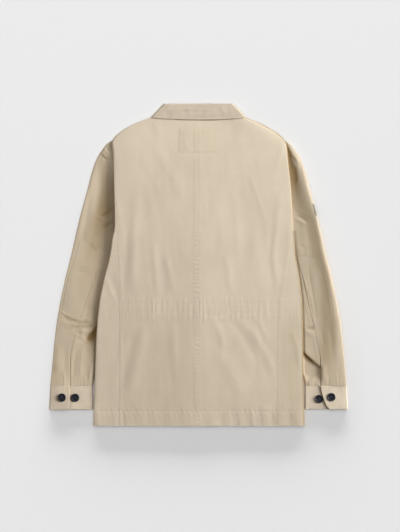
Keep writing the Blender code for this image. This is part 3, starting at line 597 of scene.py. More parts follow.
def sleeve_height(side, x, y, under_ply):
    """Top face of a sleeve: tucked under the body, a dark valley beside it, then its crest."""
    half = HALVES[side]
    reach = side * x
    edge, outer = half.body(y), half.sleeve(y)
    width = np.maximum(outer - edge, 8)
    level = {name: curve(y) for name, curve in SLEEVE_LEVELS[side].items()}
    places = [edge + width * share for share in SLEEVE_SHARES]
    places.append(outer - level["rim"] / 2 * PRESSED)
    places[-2] = np.minimum(places[-2], places[-1] - 0.03 * width)
    height = through(places, list(level.values()), reach)
    free = smooth((reach - edge - 2) / 9)
    if side == LEFT:
        # the sleeve's head is crumpled right up to its seam
        free = np.maximum(free, smooth((y - 244) / 14) * smooth((reach - edge - 0.8) / 3.5))
    inside_fold = smooth((outer - reach) / 8)
    height += free * inside_fold * (
        1.3 * folded(x, y, SLEEVE_FOLDS[side]) + 0.3 * waves(x, y, 80, 15 + side, stretch=2)
        + 0.10 * waves(x, y, 30, 18 + side, stretch=1.4) + 0.03 * waves(x, y, 13, 21))
    # the felled elbow seam, with two rows of stitches on the undersleeve
    from_elbow = half.elbow(y) - reach
    below = smooth((60 - y) / 16)
    height += 0.2 * below * between(from_elbow, 0, 9, 3)
    height += ELBOW_STEP[side] * below * smooth((2 - from_elbow) / 2) * (not under_ply)
    for row in ELBOW_ROWS:
        height += free * below * bump(from_elbow - row, 5) * 0.10 * ripples(y, 8.8, 80 + side)
    # armhole: small puckers beside the seam
    height += 0.2 * ripples(y, 9.5, 84 + side) * bump(reach - edge - 5, 6) * smooth((y - 84) / 12)
    # cuff seam: gathered a little into the cuff
    height += 0.2 * ripples(x, 8, 86 + side) * smooth((y - SLEEVE_END_Y - 30) / -30)
    if side == RIGHT:
        away, along = along_path(x, y, FLAP_EDGE)
        drop = smooth(-away / 4) * smooth((88 + away) / 72)
        drop = drop * smooth(along / 0.2) * (1 - smooth((from_elbow + 1) / -2))
        height -= 5.4 * drop * smooth((y + 296) / 30)
    tucked = smooth((reach - edge + 0.5) / 3.5) if side == LEFT else smooth((reach - edge - 1) / 5)
    tucked = np.maximum(tucked, smooth((-y - 262) / 20))
    tucked = np.maximum(tucked, smooth((y - UNDERARM_Y) / 4))
    height = TUCKED_LEVEL + (height - TUCKED_LEVEL) * tucked
    return np.maximum(height, SLEEVE_LIMIT)


# Painted shade in each sleeve's hollow beside the body: how dark it gets, and the shares of the
# sleeve's width where it starts, is darkest and ends
PaintedShadeBand = namedtuple("PaintedShadeBand", "y depth rise full fade end")
SLEEVE_PAINTED_SHADES = {
    LEFT: listed(
        PaintedShadeBand,
        (300, 0, 0, 0.2, 0.4, 0.7), (262, 0.1, 0, 0.3, 0.5, 0.8),
        (225, 0.28, 0.02, 0.36, 0.52, 0.82), (190, 0.42, -0.02, 0.22, 0.4, 0.66),
        (140, 0.66, -0.02, 0.22, 0.42, 0.7), (100, 0.62, -0.02, 0.3, 0.48, 0.82),
        (60, 0.43, -0.04, 0.26, 0.5, 0.86), (0, 0.26, -0.06, 0.3, 0.5, 0.84),
        (-70, 0.16, -0.08, 0.2, 0.4, 0.74), (-125, 0.35, -0.08, 0, 0.1, 0.24),
        (-150, 0.3, -0.08, 0, 0.08, 0.2), (-176, 0.8, -0.08, 0, 0.12, 0.36),
        (-196, 0.36, -0.08, 0, 0.1, 0.46), (-225, 0.12, -0.08, 0, 0.1, 0.4),
        (-300, 0, -0.08, 0, 0.1, 0.2)),
    RIGHT: listed(
        PaintedShadeBand,
        (300, 0.2, -0.08, 0.05, 0.2, 0.45), (270, 0.85, -0.08, 0.02, 0.2, 0.48),
        (210, 0.85, -0.08, 0.04, 0.24, 0.66), (175, 0.55, -0.08, 0.04, 0.26, 0.8),
        (140, 0.3, -0.08, 0.1, 0.5, 0.92), (110, 0.3, 0.3, 0.62, 0.8, 0.94),
        (24, 0.3, 0.44, 0.66, 0.84, 0.95), (-25, 0.32, 0.52, 0.8, 0.9, 0.98),
        (-86, 0.32, 0.44, 0.66, 0.76, 0.88), (-150, 0.34, 0.34, 0.6, 0.74, 0.92),
        (-190, 0.4, 0.34, 0.58, 0.72, 0.92), (-230, 0.36, 0.28, 0.5, 0.62, 0.84),
        (-268, 0.12, 0.2, 0.4, 0.54, 0.74), (-300, 0, 0.1, 0.3, 0.5, 0.7)),
}
SLEEVE_PAINTED_SHADE_LINES = levels(SLEEVE_PAINTED_SHADES, 14)
# Painted shade along creases, and painted shadow under the right sleeve's flap and in a pocket
# of the left sleeve: Fold's height is how dark
CREASE_SHADES = {
    LEFT: fold_list(
        (0.4, 4, (-338, -121), (-322, -134), (-290, -141), (-252, -140)),
        (0.35, 4.5, (-326, -148), (-299, -153), (-270, -152), (-250, -146)),
        (0.9, 4.4, (-238, -134), (-249, -154), (-257, -168), (-272, -188)),
        (0.3, 9, (-246, -156), (-262, -176), (-278, -194)),
        (0.14, 8, (-308, -218), (-306, -258), (-304, -306)),
        (0.2, 10, (-352, -232), (-350, -268), (-344, -310)),
        (0.15, 4, (-222, 296), (-216, 276), (-211, 248)),
        (0.4, 2.6, (-240, 276), (-230, 263), (-220, 256)),
        (0.35, 2.2, (-232, 286), (-225, 273), (-218, 262)),
        (0.3, 3, (-246, 116), (-219, 131), (-203, 145)),
        (0.3, 3, (-240, 90), (-221, 99), (-205, 110)),
        (0.25, 3, (-270, 52), (-258, 44), (-246, 32))),
    RIGHT: fold_list(
        (0.45, 3.2, (214, 300), (227, 266), (242, 250)),
        (0.5, 3.4, (234, 248), (239, 222), (240, 194)),
        (0.28, 2.6, (236, 121), (252, 116), (268, 105)),
        (0.35, 1.8, (261, 44), (262, 33), (262, 20)),
        (0.2, 2.2, (266, 8), (275, -46), (284, -98), (292, -150)),
        (0.95, 6, (234, -199), (254, -216), (268, -230), (288, -245)),
        (0.14, 2.2, (256, -30), (268, -76), (280, -130)),
        (0.35, 2.4, (252, -156), (268, -157), (286, -156)),
        (0.4, 2.8, (257, -226), (260, -256), (264, -284), (266, -312))),
}


def sleeve_painted_shade(side, reach, y):
    """Painted shade: how far the cloth is darkened in the long hollows and creases of a sleeve."""
    half = HALVES[side]
    edge = half.body(y)
    width = np.maximum(half.sleeve(y) - edge, 8)
    share = (reach - edge) / width
    line = {name: curve(y) for name, curve in SLEEVE_PAINTED_SHADE_LINES[side].items()}
    creases = folded(side * reach, y, CREASE_SHADES[side]) / FOLD_DEPTH
    return creases + (
        line["depth"] * smooth((share - line["rise"]) / (line["full"] - line["rise"]))
        * smooth((line["end"] - share) / (line["end"] - line["fade"])))


def front_under(x, y, side):
    """Lower face of a front: on the floor, raised over the collar and the placket's buttons."""
    reach = side * x
    chest = smooth((y - 225) / 22)
    across = np.maximum(1 - smooth((reach - 150) / 35), smooth((y - 283) / 15))
    neck = 2.9 * chest * across
    buttoned = 1 - smooth((-194 - y) / 40)
    outer_band = 2.7 * buttoned + 0.2 * chest
    if side == RIGHT:
        step = 1.5 + 0.8 * smooth((-334 - y) / 6)
        band = (outer_band + step) * smooth((40 - x) / 18)
    else:
        band = outer_band * smooth((x + 36) / 14)
    soft = np.clip(0.5 + 0.5 * waves(x, y, 90, 91 + side, stretch=1.8), 0, 1)
    calm = smooth((reach - 40) / 30) * smooth((y + 350) / 20)
    return np.maximum(neck, band) + 0.7 * soft * calm


# ---- materials

# The sockets of a Mix node that carry colours
COLOUR_A, COLOUR_B, COLOUR_OUT = 6, 7, 2


def scaled(colour, factor):
    """A colour times one factor, or one for each channel, and no paler than white."""
    return np.minimum(np.multiply(colour, factor), 1).tolist()


class Shade:
    """A value or colour inside a material. Arithmetic on it adds Math nodes."""

    def __init__(self, tree, socket):
        self.tree = tree
        self.socket = socket

    def math(self, operation, *values):
        return self.tree.add("ShaderNodeMath", {"operation": operation}, dict(enumerate(values)))

    def __add__(self, other):
        return self.math("ADD", self, other)

    def __mul__(self, other):
        return self.math("MULTIPLY", self, other)

    __radd__ = __add__
    __rmul__ = __mul__

    def sine(self):
        return self.math("SINE", self)

    def fade(self, low, high):
        """0 at low and below, 1 at high and above."""
        return self.tree.add("ShaderNodeMapRange", {"interpolation_type": "SMOOTHSTEP"},
                             {"Value": self, "From Min": low, "From Max": high})


class Finish:
    """A material with a Principled shader, written as expressions."""

    def __init__(self, name):
        self.material = bpy.data.materials.new(name)
        self.material.use_nodes = True
        self.nodes = self.material.node_tree.nodes
        self.links = self.material.node_tree.links
        self.shader = self.nodes["Principled BSDF"]

    def add(self, kind, options=None, inputs=None, output=0):
        """A node of a type, with its settings, then the values or links of its sockets."""
        node = self.nodes.new(kind)
        for key, value in (options or {}).items():
            setattr(node, key, value)
        for key, value in (inputs or {}).items():
            self.put(node.inputs[key], value)
        return Shade(self, node.outputs[output])

    def put(self, socket, value):
        if isinstance(value, Shade):
            self.links.new(value.socket, socket)
        elif hasattr(value, "__len__") and len(value) == 3 and socket.type == "RGBA":
            socket.default_value = (*value, 1)
        else:
            socket.default_value = value

    def set(self, **inputs):
        for key, value in inputs.items():
            self.put(self.shader.inputs[key.replace("_", " ")], value)

    def split(self, vector):
        """The three numbers of a vector."""
        first = self.add("ShaderNodeSeparateXYZ", None, {0: vector})
        return [Shade(self, socket) for socket in first.socket.node.outputs]

    def coordinates(self, kind):
        return self.add("ShaderNodeTexCoord", output=kind)

    def noise(self, vector, scale, detail=2, roughness=0.5, stretch=None):
        if stretch:
            vector = self.add("ShaderNodeVectorMath", {"operation": "MULTIPLY"},
                              {0: vector, 1: stretch})
        return self.add("ShaderNodeTexNoise", None, {
            "Vector": vector, "Scale": scale, "Detail": detail, "Roughness": roughness})

    def mix(self, share, first, second):
        """Two colours mixed; the share can be a number or a Shade."""
        return self.add("ShaderNodeMix", {"data_type": "RGBA"},
                        {0: share, COLOUR_A: first, COLOUR_B: second}, COLOUR_OUT)

    def relief(self, height, strength):
        """Bump, from a height in metres."""
        self.set(Normal=self.add("ShaderNodeBump", None, {
            "Height": height, "Distance": 1, "Strength": strength}))


# Distance in metres between the twill's ribs, and between its threads each way
RIB_PITCH, WEFT_PITCH, WARP_PITCH = 0.00105, 0.00062, 0.00078
# What wear, a slub and painted shade do to the twill's colour, channel by channel
WORN_TINT = (1.08, 1.085, 1.10)
SLUB_TINT = (0.86, 0.845, 0.81)
PAINTED_SHADE_TINT = (0.505, 0.40, 0.225)


def twill_finish(name, colour, shade):
    """Washed cotton twill: steep diagonal ribs, slubs, soft mottling, paler worn edges."""
    finish = Finish(name)
    place = finish.coordinates("UV")
    across, down, _ = finish.split(place)
    body = finish.coordinates("Object")
    slack = finish.noise(place, 60, 2) * 0.9
    rib = ((across * 0.86 + down * 0.50) * (math.tau / RIB_PITCH) + slack * 4).sine()
    yarn = ((down * (math.tau / WEFT_PITCH)).sine() * 0.35
            + (across * (math.tau / WARP_PITCH)).sine() * 0.2)
    slub = finish.noise(place, 420, 3, stretch=(1, 0.12, 1))
    slub_across = finish.noise(place, 420, 3, stretch=(0.12, 1, 1))
    mottle = finish.noise(body, 9, 4, 0.6)
    patchy = finish.noise(body, 46, 4, 0.62)
    grain = finish.noise(body, 900, 2, 0.6)
    worn = finish.add("ShaderNodeAttribute", {"attribute_name": "wear"}, output="Fac")
    hollow = finish.add("ShaderNodeAttribute", {"attribute_name": "hollow"}, output="Fac")
    # shade tints this copy: painted shade on the sleeves' copy, painted light on the cuffs'
    base = scaled(colour, shade)
    paler, darker = scaled(base, WORN_TINT), scaled(base, SLUB_TINT)
    tone = finish.mix(mottle.fade(0.34, 0.68), scaled(base, 0.965), scaled(base, 1.03))
    tone = finish.mix(patchy.fade(0.56, 0.80) * 0.28, tone, darker)
    tone = finish.mix(slub.fade(0.60, 0.82) * 0.34, tone, paler)
    tone = finish.mix(slub_across.fade(0.62, 0.84) * 0.26, tone, darker)
    tone = finish.mix((rib * 0.5 + 0.5) * 0.13, tone, darker)
    tone = finish.mix(grain.fade(0.52, 0.78) * 0.14, tone, darker)
    tone = finish.mix(worn * (0.55 + patchy * 0.5), tone, paler)
    # painted shade: darkened towards a warm shade tint where the hollow attribute says
    tone = finish.mix(hollow, tone, scaled(base, PAINTED_SHADE_TINT))
    finish.set(Base_Color=tone, Roughness=0.80 + patchy * 0.12, Specular_IOR_Level=0.16,
               Sheen_Weight=0.05, Sheen_Roughness=0.55)
    soft = finish.noise(body, 105, 3, 0.55)
    crumple = finish.noise(body, 34, 3, 0.5, stretch=(1, 0.6, 1))
    finish.relief(rib * 0.00004 + yarn * 0.00002 + slub * 0.00007 + soft * 0.00014
                  + crumple * 0.00030, 0.85)
    return finish.material


def thread_finish(name, colour):
    """Cotton thread, twisted, a little shinier than the cloth."""
    finish = Finish(name)
    body = finish.coordinates("Object")
    x, y, _ = finish.split(body)
    twist = ((x + y) * (math.tau / 0.0005)).sine()
    uneven = finish.noise(body, 220, 2)
    tone = finish.mix(uneven.fade(0.35, 0.7), scaled(colour, 0.90), scaled(colour, 1.05))
    tone = finish.mix((twist * 0.5 + 0.5) * 0.2, tone, scaled(colour, 0.8))
    finish.set(Base_Color=tone, Roughness=0.62 + uneven * 0.1)
    finish.relief(twist * 0.00004, 0.6)
    return finish.material


def horn_finish(name, colour):
    """Dark polished button, faintly streaked, worn duller on the rim."""
    finish = Finish(name)
    body = finish.coordinates("Object")
    streak = finish.noise(body, 160, 4, 0.6, stretch=(1, 3.2, 1))
    cloud = finish.noise(body, 70, 3)
    scuff = finish.noise(body, 1500, 2)
    tone = finish.mix(streak.fade(0.45, 0.68), colour, scaled(colour, 2.6))
    tone = finish.mix(cloud.fade(0.5, 0.72) * 0.6, tone, scaled(colour, 0.5))
    finish.set(Base_Color=tone, Roughness=0.22 + cloud * 0.14 + scuff.fade(0.55, 0.8) * 0.14,
               Coat_Weight=0.35, Coat_Roughness=0.16)
    finish.relief(scuff * 0.00003 + streak * 0.00006, 0.5)
    return finish.material


def badge_finish(name, colour):
    """Dense plain-woven badge cloth with a rib of satin thread."""
    finish = Finish(name)
    place = finish.coordinates("UV")
    across, down, _ = finish.split(place)
    body = finish.coordinates("Object")
    rib = (across * (math.tau / 0.0007)).sine() * (down * (math.tau / 0.0022)).sine()
    uneven = finish.noise(body, 300, 3)
    tone = finish.mix(uneven.fade(0.3, 0.7), scaled(colour, 0.82), scaled(colour, 1.15))
    tone = finish.mix((rib * 0.5 + 0.5) * 0.25, tone, scaled(colour, 0.7))
    finish.set(Base_Color=tone, Roughness=0.7 + uneven * 0.15)
    finish.relief(rib * 0.00006 + uneven * 0.0001, 0.7)
    return finish.material


def floor_finish(name, colour):
    """Matt pale paper floor."""
    finish = Finish(name)
    body = finish.coordinates("Object")
    uneven = finish.noise(body, 3, 2)
    tone = finish.mix(uneven * 0.03, colour, scaled(colour, 0.96))
    finish.set(Base_Color=tone, Roughness=0.9, Specular_IOR_Level=0.1)
    return finish.material


# ---- making cloth

# Every piece of cloth, by name, for the stitches to lie on
PIECES = {}
# Thickness in metres of the tape, neck patch and vent underlaps, and of the badge
TRIM_PLY, BADGE_PLY = 0.0008, 0.0006


def spaced(start, end, pitch):
    """Even steps from start to end, both included, about pitch apart."""
    return np.linspace(start, end, max(2, int(round(abs(end - start) / pitch)) + 1))


def turned_edge(distance, radius, drop):
    """How far a turned-in edge drops within radius of it."""
    t = np.clip(1 - distance / radius, 0, 1)
    return drop * (1 - np.sqrt(np.clip(1 - t * t, 0, 1)))


# Distances of the first columns from a turned edge, and from an edge that runs on into a fold
EDGE_STEPS = np.array([0.0, 0.12, 0.4, 0.9, 1.6])
FOLD_STEPS = np.array([0.0])


def stations(start, end, count, near_start=EDGE_STEPS, near_end=EDGE_STEPS):
    """Columns of points across each row: close together at both edges, even between them."""
    run = np.sign((end - start).mean())
    inner_start, inner_end = start + run * near_start[-1], end - run * near_end[-1]
    between_them = strip(inner_start, inner_end, count)[:, 1:-1]
    return np.concatenate([start + run * near_start, between_them,
                           (end - run * near_end)[:, ::-1]], axis=1)


def half_turn(reach, top, bottom, outwards, steps=10, depth=1):
    """A fold of cloth from its top face down to its bottom face, without the two ends."""
    radius = (top - bottom) / 2
    angle = math.pi / 2 - math.pi * np.arange(1, steps) / steps
    return (reach - outwards * depth * radius * (1 - np.cos(angle)),
            bottom + radius + radius * np.sin(angle))


def strip(start, end, count):
    """Even columns of points from one reach to the other, in every row."""
    return start + (end - start) * np.linspace(0, 1, count)


def settled(z, reach, level, over):
    """Heights brought to a level at their last column, whatever creases run near it."""
    return z - (z[:, -1:] - level) * smooth(1 - abs(reach[:, -1:] - reach) / over)


def cut_size(points):
    """Widest row, longest column and area of a grid of points, in metres."""
    across = np.linalg.norm(np.diff(points, axis=1), axis=2).sum(1).max()
    down = np.linalg.norm(np.diff(points, axis=0), axis=2).sum(0).max()
    side_a = points[1:, :-1] - points[:-1, :-1]
    side_b = points[:-1, 1:] - points[:-1, :-1]
    area = np.linalg.norm(np.cross(side_a, side_b), axis=2).sum()
    return across * MM, down * MM, area * MM * MM


def cloth(name, nodes, points, thickness, material, wear=None, hollow=None,
          faces=UP):
    """A piece of cloth in place of some CAD pieces, from a grid of points of its outer face.

    A wall goes inwards from it, thickness metres deep, and faces is the way that the outer face
    looks at its first corner."""
    down, across = points.shape[:2]
    bm = bmesh.new()
    bm.loops.layers.uv.new("UVMap")
    bmesh.ops.create_grid(bm, x_segments=across - 1, y_segments=down - 1, size=0.5)
    mesh = mesh_of(name, bm)
    flat = np.empty(len(mesh.vertices) * 3)
    mesh.vertices.foreach_get("co", flat)
    flat = flat.reshape(-1, 3)
    col = np.rint((flat[:, 0] + 0.5) * (across - 1)).astype(int)
    row = np.rint((0.5 - flat[:, 1]) * (down - 1)).astype(int)
    placed = points[row, col] * MM
    mesh.vertices.foreach_set("co", placed.ravel())
    # UV in metres, along the cloth in both directions
    steps = np.linalg.norm(np.diff(points, axis=1), axis=2)
    u = np.concatenate([np.zeros((down, 1)), np.cumsum(steps, axis=1)], axis=1)
    u += points[:, :1, 0]
    steps = np.linalg.norm(np.diff(points, axis=0), axis=2).mean(1)
    v = points[0, :, 1].mean() - np.concatenate([[0], np.cumsum(steps)])
    corner = np.empty(len(mesh.loops), int)
    mesh.loops.foreach_get("vertex_index", corner)
    uv = np.stack([u[row, col], v[row]], axis=1)[corner] * MM
    mesh.uv_layers["UVMap"].data.foreach_set("uv", uv.ravel())
    # wear, and the painted shade that darkens the twill, kept as point attributes
    for kind, amount in (("wear", wear), ("hollow", hollow)):
        value = np.zeros((down, across)) + (0 if amount is None else np.clip(amount, 0, 1))
        mesh.attributes.new(kind, "FLOAT", "POINT").data.foreach_set(
            "value", value[row, col].astype(np.float32))
    mesh.update()
    normal = np.empty(len(mesh.polygons) * 3)
    mesh.polygons.foreach_get("normal", normal)
    first = np.argmin(row + col)
    owner = next(face.index for face in mesh.polygons if first in face.vertices)
    if normal[owner * 3 + 2] * faces < 0:
        mesh.flip_normals()
    mesh.shade_smooth()
    piece = in_scene(name, mesh)
    wall = piece.modifiers.new("wall", "SOLIDIFY")
    wall.thickness = thickness
    wall.offset = -1
    finished = baked(piece)
    piece.modifiers.clear()
    piece.data = finished
    bpy.data.meshes.remove(mesh)
    finished.name = name
    finished.set_sharp_from_angle(angle=math.radians(58))
    finished.materials.clear()
    finished.materials.append(material)
    PIECES[name] = piece
    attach(piece, "root")
    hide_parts(*nodes)
    across, down, area = cut_size(points)


def settings():
    return bpy.context.scene.jacket


# Tint of the cloth of each group of panels. The sleeves' darker, warmer copy is painted shade
# and the cuffs' lighter one painted light; the collar's copy is a little darker
PANEL_TINTS_AND_PAINTED_LIGHT = {"body_twill": (1, 1, 0.97), "sleeve_twill": (0.92, 0.895, 0.83),
                "cuff_twill": (1.06, 1.06, 1.04), "collar_twill": (0.90, 0.895, 0.87)}


def twill(name="body_twill"):
    made = bpy.data.materials.get(name)
    return made or twill_finish(name, tuple(settings().twill_colour), PANEL_TINTS_AND_PAINTED_LIGHT[name])


def rows_of(*parts):
    """Every row's y as one column, from the top down, without repeats."""
    return np.unique(np.round(np.concatenate(parts), 3))[::-1, None]


def grid_of(x, y, z):
    """A grid of points from arrays of their coordinates, which may be single rows or columns."""
    return np.stack(np.broadcast_arrays(x, y, z), axis=2).astype(float)


# ---- body panels

# Painted shade on the body's turned edge, on its right side only, which faces the main light
EDGE_SHADE = {LEFT: 0, RIGHT: 0.8}
# How far in from the armhole the back's edge turns down
ARMHOLE_TURN = {LEFT: 0.9, RIGHT: 1.6}
# How far a side panel runs back underneath from its fold, to the front's side seam
SIDE_WRAP = 56
# Rows of points across the hem's stitches
HEM_STITCH_STEPS = HEM_STITCH_Y + np.array([-3.0, -1.5, 0.0, 1.5, 3.0])
# Cloth higher than this belongs to the upper face of a side panel or of a sleeve
# SLEEVE_SHADED: a sleeve's painted shade goes only on cloth higher than this
SIDE_FACE, SLEEVE_FACE, SLEEVE_SHADED = 5, 3, 2.5
# Depth of the dip at a seam between two panels
SEAM_DIP = 0.22


def make_back(side):
    """Half of the back, from the centre seam to the armhole and the side-back seam."""
    half = HALVES[side]
    pitch = settings().grid_pitch
    y = rows_of(spaced(NECK_SEAM_Y, UNDERARM_Y + 1.5, pitch), spaced(UNDERARM_Y, HEM_Y, pitch),
                HEM_STITCH_STEPS)
    armhole = smooth((y - UNDERARM_Y + 0.2) / 1.2)
    outer = half.side_back(y) - SEAM / 2
    outer += (half.body(y) - half.side_back(y)) * armhole
    middle = side * CENTRE_SEAM_X + SEAM / 2
    near_seam = np.concatenate([EDGE_STEPS, np.arange(2.4, 15, 1)])
    reach = stations(np.full_like(y, middle), outer, int(round(205 / pitch)), near_start=near_seam)
    x = side * reach
    z = body_height(side, x, y)
    drop = SEAM_DIP + armhole * (BODY_LEVELS[side]["rim"](y) - BODY_UNDER(y) - SEAM_DIP)
    z -= turned_edge(reach - middle, 0.8, 0.14)
    z -= turned_edge(outer - reach, ARMHOLE_TURN[side], 1) * drop
    wear = (0.2 * bump(reach - middle, 2.2) + 0.1 * bump(outer - reach, 2.6)
            + 0.45 * bump(y - HEM_Y, 3) + 0.3 * bump(y - HEM_STITCH_Y, 2))
    wear += (side == LEFT) * 0.22 * between(reach - middle, 1, 12, 3) * smooth((140 - y) / 80)
    turned = 2 + 5 * smooth((y - 290) / 30)
    # painted shade on the right armhole's turned edge, widening towards the shoulder
    shaded = EDGE_SHADE[side] * armhole * smooth((turned - outer + reach) / (0.7 * turned))
    # painted shade: the lower left is a little darker and warmer, as if less light reached it
    shaded += 0.09 * smooth((-80 - y) / 110) * smooth((70 - x) / 150) * smooth((x + 205) / 50)
    # painted shade: the outer lower right is a little darker
    shaded += (side == RIGHT) * 0.09 * smooth((reach - 160) / 60) * smooth((-90 - y) / 90)
    # the neck patch's two plies are made a little darker with the same shade tint
    x_from, y_from, x_to, y_to = NECK_PATCH
    shaded += 0.07 * between(x, x_from, x_to, 6) * between(y, y_from, y_to, 6)
    name = SIDES[side]
    cloth("back_panel_" + name, ["back_" + name],
          grid_of(x, y, z), settings().cloth_thickness, twill(), wear, shaded)


def make_side(side):
    """Side panel, from the side-back seam round the side fold to the front's side seam."""
    half = HALVES[side]
    pitch = settings().grid_pitch
    y = rows_of(spaced(UNDERARM_Y, HEM_Y, pitch), HEM_STITCH_STEPS)
    edge, rim, under = half.body(y), BODY_LEVELS[side]["rim"](y), BODY_UNDER(y)
    radius = (rim - under) / 2 * PRESSED
    start = half.side_back(y) + SEAM / 2
    top = stations(start, edge - radius, int(round(50 / pitch)), near_end=FOLD_STEPS)
    top_z = body_height(side, side * top, y)
    top_z -= turned_edge(top - start, 0.8, SEAM_DIP)
    top_z = settled(top_z, top, rim, 10)
    turn, turn_z = half_turn(edge, rim, under, 1, depth=PRESSED)
    tuck = np.maximum(half.body(y) - half.tuck(y), 2)
    tuck = np.where(y > SLEEVE_END_Y, tuck, 2)
    lower = strip(edge - radius, edge - SIDE_WRAP, 18)
    lower_z = under * smooth((lower - (edge - tuck - 17)) / 16)
    reach = np.concatenate([top, turn, lower], axis=1)
    z = np.concatenate([top_z, turn_z, lower_z], axis=1)
    upper = z > SIDE_FACE
    wear = (0.5 * bump(reach - start, 2.4) * upper + 0.35 * bump(y - HEM_Y, 3)
            + 0.05 * bump(edge - reach, 1.6) * upper
            + 0.3 * bump(y - HEM_STITCH_Y, 2))
    # painted shade: the right side's turned edge, and the lower right of the side panel
    shaded = EDGE_SHADE[side] * smooth((2.6 - edge + reach) / 1.4)
    shaded += (side == RIGHT) * smooth((-90 - y) / 90) * upper * (
        0.10 + 0.08 * between(reach, 222, 246, 16))
    name = SIDES[side]
    cloth("side_panel_" + name, ["side_" + name],
          grid_of(side * reach, y, z), settings().cloth_thickness, twill(), wear, shaded)


# How far each front reaches past the middle line, under or over the other
PLACKET_LAP = 20
# Distances from a front's edge of the columns of points round the lap
LAP_STEPS = np.array([0, 0.5, 2, 5, 8, 12, 16, 20, 23, 26, 30, 34, 38, 42, 46, 52, 58])


def make_front(side):
    """A front, outer face down. The left one laps under the right one along the placket."""
    half = HALVES[side]
    pitch = settings().hidden_pitch
    y = rows_of(spaced(NECK_SEAM_Y, NECK_POINT_Y + 0.2, pitch * 0.6),
                spaced(NECK_POINT_Y - 0.2, UNDERARM_Y + 0.6, pitch),
                [UNDERARM_Y + 0.3], spaced(UNDERARM_Y, HEM_Y, pitch))
    outer = np.where(y > UNDERARM_Y + 0.45, half.body(y), half.body(y) - SIDE_WRAP - 0.3)
    neck = half.neck(np.maximum(y, 292.3))
    inner = np.where(y > NECK_POINT_Y, neck, -PLACKET_LAP)
    share = np.linspace(0, 1, int(round(220 / pitch)))
    share = np.concatenate([[0, 0.004, 0.012], share[1:-1], [0.988, 0.996, 1]])
    squeeze = np.clip((outer - inner) * 0.4 / LAP_STEPS[-1], 0, 1)
    close = inner + LAP_STEPS * squeeze
    rest = close[:, -1:] + (outer - close[:, -1:]) * share[1:]
    reach = np.concatenate([close, rest], axis=1)[:, ::-1]
    x = side * reach
    z = front_under(x, y, side)
    z += turned_edge(outer - reach, 0.8, 0.5)
    wear = 0.4 * bump(reach - inner, 3) + 0.35 * bump(y - HEM_Y, 3)
    cloth("front_panel_" + SIDES[side], ["front_" + SIDES[side]],
          grid_of(x, y, z), settings().cloth_thickness, twill(), wear, faces=DOWN)


class JACKET_OT_body(bpy.types.Operator):
    """Make the back, side and front panels"""
    bl_idname = "jacket.body"
    bl_label = "Body Panels"

    def execute(self, context):
        for side in SIDES:
            make_front(side)
            make_back(side)
            make_side(side)
        return {"FINISHED"}


def inside_tape(name, nodes, x, y):
    """A flat piece of cloth just inside the back."""
    z = np.where(x > CENTRE_SEAM_X, body_height(RIGHT, x, y), body_height(LEFT, x, y))
    gap = settings().cloth_thickness / MM + 0.25
    cloth(name, nodes, grid_of(x, y, z - gap), TRIM_PLY, twill())


class JACKET_OT_inside_tapes(bpy.types.Operator):
    """Make the waist casing and the neck patch, which lie inside the back"""
    bl_idname = "jacket.inside_tapes"
    bl_label = "Casing and Neck Patch"

    def execute(self, context):
        low, high = box_in_mm("waist_casing")
        y = spaced(high.y, low.y, 4)[:, None]
        left, right = (side * (HALVES[side].body(y) - 8) for side in SIDES)
        inside_tape("casing_tape", ["waist_casing"],
                    strip(left, right, 150), y)
        x_from, y_from, x_to, y_to = NECK_PATCH
        inside_tape("neck_patch_cloth", ["neck_patch"],
                    spaced(x_from, x_to, 3)[None, :], spaced(y_to, y_from, 3)[:, None])
        return {"FINISHED"}


# ---- sleeves

# How far the sleeves' edges turn down at the elbow seam, and how worn they are
ELBOW_EDGE = {LEFT: 0.2, RIGHT: 0.7}
ELBOW_WEAR = {LEFT: 0.15, RIGHT: 0.35}


def vent_gap(ys):
    """Gap between the halves of the sleeve at the elbow seam: wider in the cuff's vent."""
    return 0.3 + 0.7 * smooth((VENT_TOP_Y - ys) / 26)


# How deep the elbow patches are pressed into the sleeves
PATCH_SUNK = 0.65


def patch_bed(side, reach, y):
    """1 under an elbow patch, where the sleeve lies pressed a little deeper."""
    inner, outer = patch_edges(side, y)
    table = ELBOW_PATCHES[side]
    rows = between(y, table[-1].y + 1, table[0].y - 1, 2)
    return rows * between(reach, inner + 1, outer - 1, 2)


